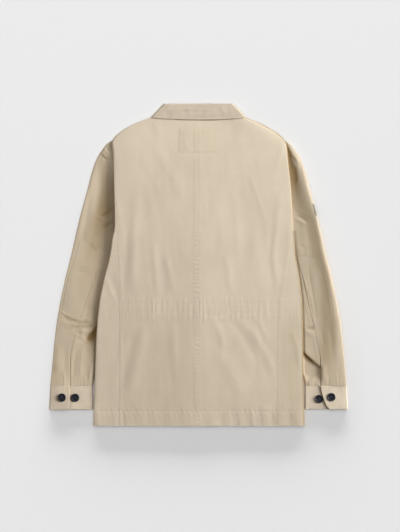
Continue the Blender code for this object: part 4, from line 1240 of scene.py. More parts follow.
def make_topsleeve(side):
    """Topsleeve: from the elbow seam over the outer fold to the forearm seam underneath."""
    half = HALVES[side]
    pitch = settings().grid_pitch
    y = rows_of(spaced(SLEEVE_HEAD_Y, UNDERARM_Y + 1.5, pitch),
                spaced(UNDERARM_Y, SLEEVE_END_Y, pitch))
    outer, rim = half.sleeve(y), SLEEVE_LEVELS[side]["rim"](y)
    cap = smooth((y - UNDERARM_Y + 0.2) / 1.2)
    start = half.elbow(y) + vent_gap(y) / 2
    start += (half.body(y) - 10 - start) * cap
    foot = outer - rim / 2 * PRESSED
    start = np.minimum(start, foot - 5)
    top = stations(start, foot, int(round(72 / pitch)), near_end=FOLD_STEPS)
    x = side * top
    top_z = sleeve_height(side, x, y, False) - PATCH_SUNK * patch_bed(side, top, y)
    top_z = settled(top_z, top, rim, 7)
    open_vent = smooth((VENT_TOP_Y - y) / 20)
    below = (1 - cap) * (ELBOW_EDGE[side] + (1.5 - ELBOW_EDGE[side]) * open_vent)
    top_z -= turned_edge(top - start, 1.2, 1) * below
    turn, turn_z = half_turn(outer, rim, np.zeros_like(rim), 1, steps=12, depth=PRESSED)
    under_end = half.forearm(y) + 0.3
    under_end += (half.body(y) + 0.3 - under_end) * cap
    under_end = np.minimum(under_end, foot - 2)
    lower = strip(foot, under_end, 12)
    reach = np.concatenate([top, turn, lower], axis=1)
    z = np.concatenate([top_z, turn_z, np.zeros_like(lower)], axis=1)
    wear = (ELBOW_WEAR[side] * bump(reach - start, 2.6) * (1 - cap)
            + 0.05 * bump(outer - reach, 1.8)) * (z > SLEEVE_FACE)
    # painted shade in the sleeve's hollow and creases, and on the rim that faces the main light
    rim_shade = 0.4 * EDGE_SHADE[side] * smooth((2.4 - outer + reach) / 1.6)
    shaded = (sleeve_painted_shade(side, reach, y) + rim_shade) * (z > SLEEVE_SHADED)
    cloth("topsleeve_cloth_" + SIDES[side], ["topsleeve_" + SIDES[side]],
          grid_of(side * reach, y, z), settings().cloth_thickness, twill("sleeve_twill"), wear,
          shaded)


def make_undersleeve(side):
    """Undersleeve: from the elbow seam inwards, round the tucked fold to the forearm seam."""
    half = HALVES[side]
    pitch = settings().grid_pitch
    y = rows_of(spaced(UNDERARM_Y - 0.4, SLEEVE_END_Y, pitch))
    inner = half.tuck(y)
    start = half.elbow(y) - vent_gap(y) / 2
    top_at_fold = TUCKED_LEVEL + smooth((-y - 262) / 24)
    radius = top_at_fold / 2
    start = np.maximum(start, inner + radius + 4)
    top = stations(start, inner + radius, int(round(84 / pitch)), near_end=FOLD_STEPS)
    x = side * top
    top_z = sleeve_height(side, x, y, True)
    top_z = settled(top_z, top, top_at_fold, 9)
    top_z -= turned_edge(start - top, 0.9, ELBOW_EDGE[side])
    turn, turn_z = half_turn(inner, top_at_fold, np.zeros_like(inner), -1)
    foot = inner + radius
    lower = strip(foot, half.forearm(y), 14)
    reach = np.concatenate([top, turn, lower], axis=1)
    z = np.concatenate([top_z, turn_z, np.zeros_like(lower)], axis=1)
    wear = ELBOW_WEAR[side] * bump(start - reach, 2.6) * (z > SLEEVE_FACE)
    # painted shade in the sleeve's hollow and creases
    cloth("undersleeve_cloth_" + SIDES[side], ["undersleeve_" + SIDES[side]],
          grid_of(side * reach, y, z), settings().cloth_thickness, twill("sleeve_twill"), wear,
          sleeve_painted_shade(side, reach, y) * (z > SLEEVE_SHADED))


# How far an underlap lies below the sleeve, and at least above the floor
UNDERLAP_DROP = 2.2


def make_vent_underlap(side):
    """Underlap that closes the vent above the cuff from beneath."""
    half = HALVES[side]
    low, high = box_in_mm("vent_underlap_" + SIDES[side])
    y = spaced(high.y, low.y, 4)[:, None]
    seam_line = half.elbow(y)
    reach = seam_line + spaced(-9, 11, 2)[None, :]
    roof = np.minimum(sleeve_height(side, side * reach, y, True),
                      sleeve_height(side, side * (seam_line - 5), y, True))
    z = np.maximum(roof.min(axis=1, keepdims=True) - UNDERLAP_DROP, UNDERLAP_DROP)
    name = SIDES[side]
    cloth("vent_underlap_cloth_" + name, ["vent_underlap_" + name],
          grid_of(side * reach, y, z), TRIM_PLY, twill("sleeve_twill"))


class JACKET_OT_sleeves(bpy.types.Operator):
    """Make the topsleeves, undersleeves and the underlaps of their vents"""
    bl_idname = "jacket.sleeves"
    bl_label = "Sleeves"

    def execute(self, context):
        for side in SIDES:
            make_topsleeve(side)
            make_undersleeve(side)
            make_vent_underlap(side)
        return {"FINISHED"}


# Elbow patches: inner and outer edge of each, row by row. The inner edge follows the elbow
# seam where its own value is smaller than the seam's reach
PatchRow = namedtuple("PatchRow", "y inner outer")
ELBOW_PATCHES = {
    LEFT: listed(
        PatchRow,
        (58, 285, 293), (44, 251, 296), (32, 232, 298), (8, 0, 305), (-24, 0, 317), (-56, 0, 325),
        (-88, 0, 331), (-118, 0, 336), (-128, 0, 322), (-137, 0, 302)),
    RIGHT: listed(
        PatchRow,
        (19, 246, 262), (15, 0, 281), (6, 0, 298), (-16, 0, 306), (-36, 0, 314), (-76, 0, 321),
        (-108, 0, 325), (-130, 0, 329), (-140, 0, 316), (-147, 0, 299), (-154, 0, 284)),
}


def patch_edges(side, ys):
    """Inner and outer reach of an elbow patch at each height."""
    table = ELBOW_PATCHES[side]
    elbow = HALVES[side].elbow
    outer = column(table, "outer", 3)(ys)
    inner = Curve([row.y for row in table], [row.inner or elbow(row.y) for row in table], 3)(ys)
    inner = np.maximum(inner, elbow(ys) + 1.2)
    return inner, np.maximum(outer, inner + 3)


def make_elbow_patch(side):
    """Elbow patch, sewn on the topsleeve and into the elbow seam."""
    top_y, low_y = ELBOW_PATCHES[side][0].y, ELBOW_PATCHES[side][-1].y
    y = rows_of(spaced(top_y, low_y, 2.4))
    inner, outer = patch_edges(side, y)
    reach = stations(inner, outer, 30)
    lift = settings().trim_thickness / MM + 0.08
    from_edge = np.minimum(np.minimum(reach - inner, outer - reach),
                           np.minimum(top_y - y, y - low_y))
    sleeve = sleeve_height(side, side * reach, y, False)
    pillow = 0.15 * smooth((from_edge - 4) / 14)
    pillow += 0.10 * ripples(y, 9, 101 + side) * bump(from_edge - 3, 5)
    z = sleeve + lift - PATCH_SUNK + pillow - turned_edge(from_edge, 1.4, 0.30)
    name = SIDES[side]
    # the patch carries the sleeve's painted shade
    cloth("elbow_patch_cloth_" + name, ["elbow_patch_" + name],
          grid_of(side * reach, y, z), settings().trim_thickness, twill("sleeve_twill"),
          hollow=sleeve_painted_shade(side, reach, y))


# How far the badge's face stands off the sleeve's fold
BADGE_LIFT = 0.75


class JACKET_OT_patches(bpy.types.Operator):
    """Make the elbow patches and the plain badge on the right sleeve"""
    bl_idname = "jacket.patches"
    bl_label = "Elbow Patches and Badge"

    def execute(self, context):
        for side in SIDES:
            make_elbow_patch(side)
        low, high = box_in_mm("sleeve_badge")
        y = spaced(high.y, low.y, 1.6)[:, None]
        outer, radius = HALVES[RIGHT].sleeve(y), SLEEVE_LEVELS[RIGHT]["rim"](y) / 2
        angle = np.radians(np.linspace(92, -20, 18))[None, :]
        reach = outer - radius * PRESSED + (radius * PRESSED + BADGE_LIFT) * np.cos(angle)
        z = radius + (radius + BADGE_LIFT) * np.sin(angle)
        cloth("badge_cloth_piece", ["sleeve_badge"], grid_of(reach, y, z),
              BADGE_PLY, badge_finish("badge_weave", tuple(settings().badge_colour)))
        return {"FINISHED"}


# ---- cuffs

# Top faces of a cuff's underneath end and of its overlapping part
CUFF_INNER_TOP = 5.9
CUFF_OVERLAP_TOP = 8.8
# Reach of the end underneath
CUFF_UNDERLAP_REACH = 342
# How far the overlapping part falls on either side of its middle
CUFF_FALL = 1.9


def make_cuff(side):
    """Cuff: one strip from its overlapping end round the wrist to the end underneath it."""
    half = HALVES[side]
    share = np.concatenate([[0, 0.01, 0.03], np.linspace(0.06, 0.94, 22), [0.97, 0.99, 1]])
    top_y, hem_y = half.cuff_top_y, half.cuff_hem_y
    y = (top_y + (hem_y - top_y) * share)[:, None]
    outer, inner = half.cuff_outer(y), half.cuff_inner(y)
    end = half.cuff_end(y)
    top = np.full_like(y, CUFF_OVERLAP_TOP - CUFF_FALL)
    low = np.full_like(y, CUFF_INNER_TOP)

    def press(reach, side_of_cuff):
        """Dents along the stitches and a soft waver of the whole strip."""
        from_edge = np.minimum(top_y - y, y - hem_y)
        dent = 0.28 * bump(from_edge - CUFF_ROW, 1.6)
        soft = 0.35 * waves(reach, y, 46, 111 + side + side_of_cuff)
        rolled = turned_edge(from_edge, 1.8, 1.1)
        pucker = 0.2 * ripples(reach, 8, 113 + side) * bump(from_edge - CUFF_ROW, 4)
        slope = CUFF_FALL * (0.6 - 1.6 * (reach - end) / (outer - end))
        return soft - dent - rolled + pucker + slope * (1 if side_of_cuff == 0 else 0)

    upper = stations(end, outer - top / 2, 26, near_end=FOLD_STEPS)
    upper_z = CUFF_OVERLAP_TOP + press(upper, 0) - turned_edge(upper - end, 1.4, 0.9)
    upper_z = settled(upper_z, upper, top, 8)
    turn, turn_z = half_turn(outer, top, np.zeros_like(top), 1, steps=12)
    under = strip(outer - top / 2, inner + low / 2, 30)
    back, back_z = half_turn(inner, low, np.zeros_like(low), -1)
    back, back_z = back[:, ::-1], back_z[:, ::-1]
    under_lap = stations(inner + low / 2, np.full_like(y, CUFF_UNDERLAP_REACH), 30,
                         near_start=FOLD_STEPS)
    lap_z = CUFF_INNER_TOP + press(under_lap, 5) * smooth((end - 2 - under_lap) / 6)
    lap_z -= (lap_z[:, :1] - CUFF_INNER_TOP) * smooth(1 - (under_lap - under_lap[:, :1]) / 8)
    reach = np.concatenate([upper, turn, under, back, under_lap], axis=1)
    z = np.concatenate([upper_z, turn_z, np.zeros_like(under), back_z, lap_z], axis=1)
    count = upper.shape[1]
    wear = np.zeros_like(reach) + 0.3 * bump(np.minimum(top_y - y, y - hem_y), 2)
    wear[:, :count] += 0.2 * bump(upper - end, 2.2) * (side == RIGHT)
    shaded = np.zeros_like(reach)
    # painted shade on the left cuff's overlapping end, which faces the main light
    shaded[:, :count] = (side == LEFT) * 0.4 * smooth((2.2 - upper + end) / 1.8)
    cloth("cuff_cloth_" + SIDES[side], ["cuff_" + SIDES[side]], grid_of(side * reach, y, z),
          settings().cuff_thickness, twill("cuff_twill"), wear, shaded)


class JACKET_OT_cuffs(bpy.types.Operator):
    """Make the two cuffs, each one strip overlapping itself"""
    bl_idname = "jacket.cuffs"
    bl_label = "Cuffs"

    def execute(self, context):
        for side in SIDES:
            make_cuff(side)
        return {"FINISHED"}


# ---- collar

# Collar: the roll line and free edge of the leaf and the neck seam of the stand, for the right
# half from the back's middle to the front. turn is 90 on the back, -90 underneath
CollarStation = namedtuple("CollarStation", "turn roll_x roll_y leaf_x leaf_y neck_x neck_y")
# Its corner at the neck's point, where it turns over in place
COLLAR_CORNER = (80.8, 392.4, 113.4, 358.7, 110.2, 361.8)
COLLAR = listed(
    CollarStation,
    (90, 0, 393.8, 0, 354, 0, 359.4), (90, 25, 393.8, 34, 354.4, 33, 359.4),
    (90, 50, 393.8, 68, 355.8, 66, 359.4), (90, 72, 393.8, 97, 357.2, 93, 359.4),
    *((turn, *COLLAR_CORNER) for turn in (90, 54, 18, -18, -54, -90)),
    (-90, 57, 366, 103, 322, 83, 337), (-90, 32, 340, 86, 290, 57.5, 314.5),
    (-90, 8, 312, 66, 266, 9, 293))
# Soft creases of the leaf
COLLAR_FOLDS = fold_list(
    (0.9, 4, (-84, 378), (-40, 381), (10, 379)), (-0.8, 3.5, (-60, 371), (-10, 374), (38, 372)),
    (0.7, 3.5, (12, 367), (44, 369), (84, 374)), (-0.6, 3, (-90, 366), (-64, 367), (-30, 365)),
    (0.8, 5, (-30, 389), (-22, 376), (-20, 362)), (0.7, 5, (52, 388), (60, 374), (68, 361)),
    (-0.7, 4, (-66, 388), (-76, 374), (-84, 362)))
# Columns of points from each station to the next
COLLAR_STEPS = (9, 9, 8, 5, 3, 3, 3, 3, 3, 9, 10, 10)
# Height of the line that the collar turns over, how far the leaf lies from it, and how much
# higher it lies on the back
COLLAR_AXIS_Z, LEAF_RADIUS, COLLAR_LIFT = 4.5, 4.5, 1.9
# Radius of the roll line, and how deep the leaf is from there to its free edge
ROLL_RADIUS, LEAF_DEPTH = 2.05, 40
# Where the stand starts, in from the roll line, and how far it lies below the leaf's face
STAND_START, STAND_DEPTH, STAND_GAP = 6, 4.1, 0.45


def collar_spine():
    """Stations of the whole collar, closely spaced, from the left front to the right front."""
    half = []
    for (first, second), steps in zip(zip(COLLAR, COLLAR[1:]), COLLAR_STEPS):
        for step in range(steps):
            share = step / steps
            half.append([a + (b - a) * share for a, b in zip(first, second)])
    half.append(list(COLLAR[-1]))
    right = np.array(half)
    # round the corners of the roll line a little, but keep both ends
    for _ in range(2):
        right[1:-1, 1:] = 0.25 * right[:-2, 1:] + 0.5 * right[1:-1, 1:] + 0.25 * right[2:, 1:]
    sides = np.concatenate([np.full(len(right) - 1, LEFT), np.full(len(right), RIGHT)])
    return sides, np.concatenate([right[:0:-1], right])


def collar_points(path):
    """Points across every station of the collar.

    path holds (distance in from the roll line, share of the way on to the leaf's free edge or
    to the neck seam, which of the two, depth below the leaf's outer face)."""
    sides, spine = collar_spine()
    turn = np.radians(spine[:, 0])
    roll, leaf, neck = spine[:, 1:3], spine[:, 3:5], spine[:, 5:7]
    inwards = leaf - roll
    inwards = inwards / np.linalg.norm(inwards, axis=1, keepdims=True)
    slant = np.array([COLLAR[4].leaf_x - COLLAR[4].roll_x, COLLAR[4].leaf_y - COLLAR[4].roll_y])
    slant = slant / np.linalg.norm(slant)
    normal = np.stack([-slant[1] * np.cos(turn), slant[0] * np.cos(turn), np.sin(turn)], axis=1)
    lift = COLLAR_LIFT * smooth((spine[:, 0] - 10) / 80)
    columns = []
    for start, share, end, depth in path:
        flat = roll + inwards * start
        flat += ((leaf if end == "leaf" else neck) - flat) * share
        z = COLLAR_AXIS_Z + normal[:, 2] * (LEAF_RADIUS - depth)
        z += lift * (1 - depth / (2 * STAND_DEPTH))
        x = flat[:, 0] + normal[:, 0] * (LEAF_RADIUS - depth)
        y = flat[:, 1] + normal[:, 1] * (LEAF_RADIUS - depth)
        columns.append(np.stack([sides * x, y, z], axis=1))
    return np.stack(columns, axis=1), np.repeat(spine[:, 0:1], len(path), axis=1)


class JACKET_OT_collar(bpy.types.Operator):
    """Make the collar's leaf and stand"""
    bl_idname = "jacket.collar"
    bl_label = "Collar"

    def execute(self, context):
        shares = [1, 0.992, 0.975, 0.95] + list(np.linspace(0.92, 0.05, 17))
        path = [(0, share, "leaf", 0) for share in shares]
        for angle in np.linspace(90, 270, 11):
            turn = math.radians(angle)
            path.append((ROLL_RADIUS * (1 + math.cos(turn)), 0, "leaf",
                         ROLL_RADIUS * (1 - math.sin(turn))))
        path.append((STAND_START * 0.75, 0, "leaf", STAND_DEPTH))
        path.append((STAND_START, 0, "leaf", STAND_DEPTH))
        points, turn = collar_points(path)
        outer = np.array([share if start == 0.0 and depth == 0.0 else 0.0
                          for start, share, _, depth in path])[None, :]
        on_back = smooth((turn - 20) / 60)
        from_edge = (1 - outer) * LEAF_DEPTH
        x, y = points[:, :, 0], points[:, :, 1]
        face = (outer > 0) * 1
        relief = (folded(x, y, COLLAR_FOLDS) + 0.45 * waves(x, y, 70, 121)
                  + 0.22 * waves(x, y, 26, 122) - 0.35 * bump(from_edge - COLLAR_ROW, 1.8)
                  + 0.22 * ripples(x, 8.2, 123) * bump(from_edge - 4, 4.5))
        points[:, :, 2] += on_back * face * (relief - turned_edge(from_edge, 2.2, 0.8))
        wear = face * (0.25 * bump(from_edge, 2.2)) + 0.2 * bump(outer, 0.06)
        # painted shade on the leaf's right half where it turns over, which faces the main light
        shaded = 0.45 * (x > 0) * face * smooth((80 - turn) / 50)
        cloth("collar_leaf_cloth", ["collar_leaf"], points,
              settings().collar_thickness, twill("collar_twill"), wear, shaded, faces=DOWN)
        start = STAND_START + STAND_GAP
        path = [(start, share, "neck", STAND_DEPTH) for share in np.linspace(0, 1, 10)]
        points, _ = collar_points(path)
        cloth("collar_stand_cloth", ["collar_stand"], points,
              settings().cloth_thickness, twill("collar_twill"))
        return {"FINISHED"}


# ---- buttons

# A button's holes: their radius and how far they lie from its middle
HOLE_RADIUS, HOLE_DISTANCE = 0.95, 2.4
# A bar of thread: half its length, width and height, and its distance from the cross's line
BAR, BAR_OFFSET = (2.75, 0.34, 0.42), 0.28
# How far the thread lies below a button's face, and a cuff button above the cloth
THREAD_DEPTH, BUTTON_GAP = 0.80, 0.25
BUTTON_THREAD = (0.045, 0.045, 0.05)
# How each button happens to be turned, in degrees, by name
BUTTON_TURNS = (23, 68, 8, 51, 12, 80, 37, 60, 5)


def button_mesh(radius, height):
    """Four-hole button turned from its profile: a rounded rim round a shallow dish."""
    r, h = radius, height
    profile = [(0, 0), (r - 1.8, 0), (r - 0.8, 0.2), (r - 0.2, 0.7), (r, 1.25),
               (r - 0.1, h - 0.55), (r - 0.5, h - 0.15), (r - 1.1, h), (r - 1.7, h - 0.06),
               (r - 2.3, h - 0.3), (r - 2.8, h - 0.62), (r - 3.6, h - 0.82),
               (r - 5.4, h - 0.92), (0, h - 0.96)]
    bm = bmesh.new()
    verts = [bm.verts.new((x * MM, 0, z * MM)) for x, z in profile]
    edges = [bm.edges.new(pair) for pair in zip(verts, verts[1:])]
    bmesh.ops.spin(bm, geom=verts + edges, cent=(0, 0, 0), axis=(0, 0, 1), dvec=(0, 0, 0),
                   angle=math.tau, steps=48, use_merge=True, use_duplicate=False)
    bmesh.ops.remove_doubles(bm, verts=bm.verts, dist=1e-6)
    bmesh.ops.recalc_face_normals(bm, faces=bm.faces)
    blank = in_scene("button_blank", mesh_of("button_disc", bm))
    bm = bmesh.new()
    for quarter in range(4):
        turn = math.radians(45 + 90 * quarter)
        made = bmesh.ops.create_cone(bm, cap_ends=True, segments=20, radius1=HOLE_RADIUS * MM,
                                     radius2=HOLE_RADIUS * MM, depth=8 * MM)
        way = Vector((math.cos(turn), math.sin(turn), 0))
        bmesh.ops.translate(bm, verts=made["verts"], vec=way * HOLE_DISTANCE * MM)
    cutter = in_scene("button_cutter", mesh_of("button_drill", bm))
    cut = blank.modifiers.new("holes", "BOOLEAN")
    cut.operation = "DIFFERENCE"
    cut.solver = "EXACT"
    cut.object = cutter
    finished = baked(blank)
    for item in (blank, cutter):
        bpy.data.objects.remove(item)
    finished.shade_smooth()
    finished.set_sharp_from_angle(angle=math.radians(50))
    return finished


def thread_cross(bm, place, faces, top, turn):
    """Two crossed bars of thread through a button's holes."""
    for bar in (45, 135):
        angle = math.radians(bar) + turn
        for offset in (-BAR_OFFSET, BAR_OFFSET):
            made = bmesh.ops.create_icosphere(bm, subdivisions=2, radius=1)
            middle = Vector(place) + Vector((-math.sin(angle) * offset, math.cos(angle) * offset,
                                             faces * top))
            bmesh.ops.transform(bm, verts=made["verts"], matrix=Matrix.LocRotScale(
                middle * MM, Matrix.Rotation(angle, 3, "Z"), Vector(BAR) * MM))


def add_thread(name, mesh, material):
    """Finished thread, as part of the cloth that it holds."""
    mesh.shade_smooth()
    mesh.materials.append(material)
    piece = in_scene(name, mesh)
    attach(piece, "root")


class JACKET_OT_buttons(bpy.types.Operator):
    """Make the cuff buttons and the front buttons, with their thread"""
    bl_idname = "jacket.buttons"
    bl_label = "Buttons"

    def execute(self, context):
        low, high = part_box("cuff_left_button_overlap")
        height = (high.z - low.z) / MM
        master = button_mesh((high.x - low.x) / 2 / MM, height)
        master.materials.clear()
        master.materials.append(horn_finish("button_horn", tuple(settings().button_colour)))
        threads = bmesh.new()
        names = [name for name in sorted(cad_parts) if "button" in name]
        for name, degrees in zip(names, BUTTON_TURNS):
            low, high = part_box(name)
            middle = (low + high) / 2
            turn = math.radians(degrees)
            place = Matrix.Rotation(turn, 4, "Z")
            if name.startswith("cuff"):
                faces = UP
                base = (CUFF_OVERLAP_TOP if "overlap" in name else CUFF_INNER_TOP) + BUTTON_GAP
            else:
                faces = DOWN
                base = high.z / MM
                place = Matrix.Rotation(math.pi, 4, "Y") @ place
            mesh = master.copy()
            mesh.transform(Matrix.Translation((middle.x, middle.y, base * MM)) @ place)
            piece = in_scene(name + "_horn", mesh)
            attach(piece, "root")
            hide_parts(name)
            thread_cross(threads, (middle.x / MM, middle.y / MM, base), faces,
                         height - THREAD_DEPTH, faces * turn)
        add_thread("button_threads", mesh_of("button_threads", threads),
                   thread_finish("button_thread", BUTTON_THREAD))
        return {"FINISHED"}


# ---- stitching

def surface(*names):
    """A tree of the named cloth pieces, to lay stitches on."""
    verts, faces = [], []
    for name in names:
        mesh = PIECES[name].data
        base = len(verts)
        verts += [vert.co.copy() for vert in mesh.vertices]
        faces += [[base + index for index in face.vertices] for face in mesh.polygons]
    return BVHTree.FromPolygons(verts, faces)


def run_along(path, pitch):
    """Places and headings of stitches along a path of (x, y) points, in millimetres."""
    path = np.asarray(path, float)
    steps = np.hypot(*np.diff(path, axis=0).T)
    walked = np.concatenate([[0], np.cumsum(steps)])
    spots = np.arange(pitch / 2, walked[-1], pitch)

    def at(distance):
        return np.stack([np.interp(distance, walked, way) for way in path.T], axis=1)

    dx, dy = (at(spots + 0.5) - at(spots - 0.5)).T
    return at(spots), np.arctan2(dy, dx)


# Half the length, width and height of a stitch, and its middle above or below the cloth's face
BEAD_LENGTH, BEAD_WIDTH, BEAD_HEIGHT = (1.02, 1.18), 0.27, 0.22
BEAD_RISE = {UP: 0.02, DOWN: -0.24}
# No stitch is laid where the cloth's normal leans so far that less of it than this is upright
TOO_STEEP = 0.15
# A height in metres from which the whole jacket can be reached
WELL_CLEAR = 0.1


def sew(name, tree, runs, faces=UP):
    """Rows of stitches laid on a surface: one piece of small sunk beads of thread."""
    pitch = settings().stitch_pitch / MM
    random = np.random.default_rng(len(name) * 7 + len(runs))
    bm = bmesh.new()
    template = bmesh.new()
    bmesh.ops.create_icosphere(template, subdivisions=1, radius=1)
    bead = mesh_of("bead", template)
    for path in runs:
        places, headings = run_along(path, pitch)
        for (x, y), heading in zip(places, headings):
            origin = Vector((x * MM, y * MM, faces * WELL_CLEAR))
            hit, normal, _, _ = tree.ray_cast(origin, Vector((0, 0, -faces)))
            if hit is None or normal.z * faces < TOO_STEEP:
                continue
            along = Vector((math.cos(heading), math.sin(heading), 0))
            along = (along - normal * along.dot(normal)).normalized()
            across = normal.cross(along)
            length = random.uniform(*BEAD_LENGTH)
            matrix = Matrix((along * length * MM, across * BEAD_WIDTH * MM,
                             normal * BEAD_HEIGHT * MM)).transposed().to_4x4()
            matrix.translation = hit + normal * BEAD_RISE[faces] * MM
            before = len(bm.verts)
            bm.from_mesh(bead)
            bm.verts.ensure_lookup_table()
            bmesh.ops.transform(bm, verts=bm.verts[before:], matrix=matrix)
    bpy.data.meshes.remove(bead)
    thread = bpy.data.materials.get("sewing_thread")
    add_thread(name, mesh_of(name, bm), thread or thread_finish(
        "sewing_thread", tuple(settings().thread_colour)))


# Distance between the points of a stitched path, and of one round a small piece
PATH_STEP, CLOSE_STEP = 4, 2


def path_at(side, reach, y):
    """A path through the points at a reach to one side; either may be one number."""
    return np.stack(np.broadcast_arrays(side * reach, y), axis=1)


def across_run(y, edge_y, inset):
    """A path across the whole jacket, ending inset from its side folds as they are at edge_y."""
    left, right = (side * (HALVES[side].body(edge_y) - inset) for side in SIDES)
    return path_at(1, spaced(left, right, PATH_STEP), y)


class JACKET_OT_stitching(bpy.types.Operator):
    """Lay every row of topstitching on the cloth"""
    bl_idname = "jacket.stitching"
    bl_label = "Stitching"

    def execute(self, context):
        body = surface("back_panel_left", "back_panel_right", "side_panel_left",
                       "side_panel_right")
        ys = spaced(NECK_SEAM_Y - 6, HEM_Y + 3, PATH_STEP)
        sew("centre_seam_stitches", body, [path_at(1, CENTRE_SEAM_X - row, ys)
                                           for row in CENTRE_ROWS])
        ys = spaced(UNDERARM_Y - 4, HEM_Y + 3, PATH_STEP)
        sew("side_seam_stitches", body, [path_at(side, half.side_back(ys) - row, ys)
                                         for side, half in HALVES.items() for row in SIDE_ROWS])
        sew("casing_stitches", body, [across_run(y, y, 5) for y in CASING_ROWS])
        x_from, y_from, x_to, y_to = NECK_ROW
        sew("neck_patch_stitches", body, [[(x_from, y_to), (x_to, y_to), (x_to, y_from),
                                           (x_from, y_from), (x_from, y_to)]])
        sew("hem_stitches", body, [across_run(HEM_STITCH_Y, HEM_Y, 5)])
        for side in SIDES:
            self.sew_sleeve(side)
        sides, spine = collar_spine()
        back = spine[:, 0] > 60
        edge = path_at(sides[back], spine[back, 3], spine[back, 4] + COLLAR_ROW)
        sew("collar_stitches", surface("collar_leaf_cloth"),
            [edge, edge + np.array([0.0, COLLAR_ROW_GAP])])
        ys = spaced(NECK_POINT_Y - 6, HEM_Y + 4, PATH_STEP)
        runs = [path_at(1, x, ys) for x in PLACKET_ROWS]
        runs.append(across_run(HEM_STITCH_Y, HEM_Y, SIDE_WRAP + 6))
        sew("front_stitches", surface("front_panel_left", "front_panel_right"), runs, DOWN)
        return {"FINISHED"}

    def sew_sleeve(self, side):
        """The rows of one sleeve, its elbow patch and its cuff."""
        half, name = HALVES[side], SIDES[side]
        sleeve = surface("topsleeve_cloth_" + name, "undersleeve_cloth_" + name,
                         "elbow_patch_cloth_" + name)
        ys = spaced(46, VENT_TOP_Y, PATH_STEP)
        runs = [path_at(side, half.elbow(ys) - row, ys) for row in ELBOW_ROWS]
        ys = spaced(VENT_TOP_Y, SLEEVE_END_Y + 4, PATH_STEP)
        runs.append(path_at(side, half.elbow(ys) + VENT_ROW, ys))
        reach = spaced(half.tuck(SLEEVE_END_Y) + 6, half.sleeve(SLEEVE_END_Y) - 6, PATH_STEP)
        runs.append(path_at(side, reach, SLEEVE_END_Y + 3))
        sew("sleeve_stitches_" + name, sleeve, runs)
        runs = []
        for row in PATCH_ROWS:
            ys = spaced(ELBOW_PATCHES[side][0].y - row, ELBOW_PATCHES[side][-1].y + row,
                        CLOSE_STEP)
            inner, outer = patch_edges(side, ys)
            inner, outer = inner + row, np.maximum(outer - row, inner + row)
            runs.append(np.concatenate([path_at(side, inner, ys)[::-1], path_at(side, outer, ys)]))
        sew("patch_stitches_" + name, sleeve, runs)
        top_y, hem_y = half.cuff_top_y - CUFF_ROW, half.cuff_hem_y + CUFF_ROW
        ys = spaced(top_y, hem_y, CLOSE_STEP)
        runs = [path_at(side, half.cuff_end(ys) + CUFF_ROW, ys)]
        for y in (top_y, hem_y):
            reach = spaced(half.cuff_inner(y) + CUFF_ROW, half.cuff_outer(y) - CUFF_ROW, PATH_STEP)
            runs.append(path_at(side, reach, y))
        sew("cuff_stitches_" + name, surface("cuff_cloth_" + name), runs)


# ---- stage

def lamp(name, kind, place, power):
    """A light that looks at the jacket's middle."""
    data = bpy.data.lights.new(name, kind)
    data.energy = power
    item = in_scene(name, data)
    item.location = place
    item.rotation_euler = (Vector() - item.location).to_track_quat("-Z", "Y").to_euler()
    return item


def distant_light(name, from_place, share, softness):
    """A large far light: share is what it adds to a level surface, softness its width in
    degrees."""
    place = Vector(from_place)
    item = lamp(name, "SUN", place, share * place.length / place.z)
    item.data.angle = math.radians(softness)
    return item


def soft_light(name, place, size, power):
    """A rectangular panel of light."""
    item = lamp(name, "AREA", place, power)
    item.data.shape = "RECTANGLE"
    item.data.size, item.data.size_y = size
    return item


# The camera looks straight down from just off the jacket's middle. Its sensor is in mm
CAMERA_PLACE = (0.0037, -0.0031, 3.2)
SENSOR_WIDTH = 36


class JACKET_OT_stage(bpy.types.Operator):
    """Set up the camera, the pale floor and the soft lights"""
    bl_idname = "jacket.stage"
    bl_label = "Stage"

    def execute(self, context):
        stage = context.scene.jacket_stage
        bm = bmesh.new()
        bmesh.ops.create_grid(bm, x_segments=8, y_segments=8, size=6)
        mesh = mesh_of("paper_floor", bm)
        mesh.materials.append(floor_finish("paper_floor", tuple(stage.floor_colour)))
        floor = in_scene("paper_floor", mesh)
        window = distant_light("right_window", (3, 0.65, 1.22), stage.right_light, 28)
        window.data.color = (0.99, 1, 1.04)
        distant_light("left_window", (-3, 0.3, 1.7), stage.left_light, 30)
        edge = distant_light("left_edge", (-3, 0.4, 0.55), stage.edge_light, 24)
        panel = soft_light("upper_panel", (0.7, 1.1, 1.1), (1.2, 0.6), stage.upper_light)
        ceiling = distant_light("ceiling", (0, 0.6, 3), stage.floor_light, 100)
        sweep = soft_light("floor_sweep", (0, 20, 1.62), (22, 2.4), stage.low_light)
        ceiling.data.color = (0.985, 1, 1.03)
        panel.data.color = (0.94, 1, 1.10)
        # the window, panel and edge light reach only the jacket; the ceiling and the low
        # sweep, only the floor
        for light, state in ((window, "EXCLUDE"), (panel, "EXCLUDE"), (edge, "EXCLUDE"),
                             (ceiling, "INCLUDE"), (sweep, "INCLUDE")):
            reached = bpy.data.collections.new(light.name + "_reach")
            reached.objects.link(floor)
            reached.collection_objects[0].light_linking.link_state = state
            light.light_linking.receiver_collection = reached
        world = context.scene.world or bpy.data.worlds.new("studio")
        context.scene.world = world
        world.use_nodes = True
        background = world.node_tree.nodes["Background"].inputs
        background["Color"].default_value = (1, 0.93, 0.76, 1)
        background["Strength"].default_value = stage.ambient
        camera = in_scene("camera", bpy.data.cameras.new("camera"))
        camera.data.sensor_fit = "HORIZONTAL"
        camera.data.sensor_width = SENSOR_WIDTH
        camera.data.lens = stage.lens
        camera.location = CAMERA_PLACE
        context.scene.camera = camera
        context.scene.view_settings.view_transform = "Standard"
        return {"FINISHED"}


# ---- settings and panel

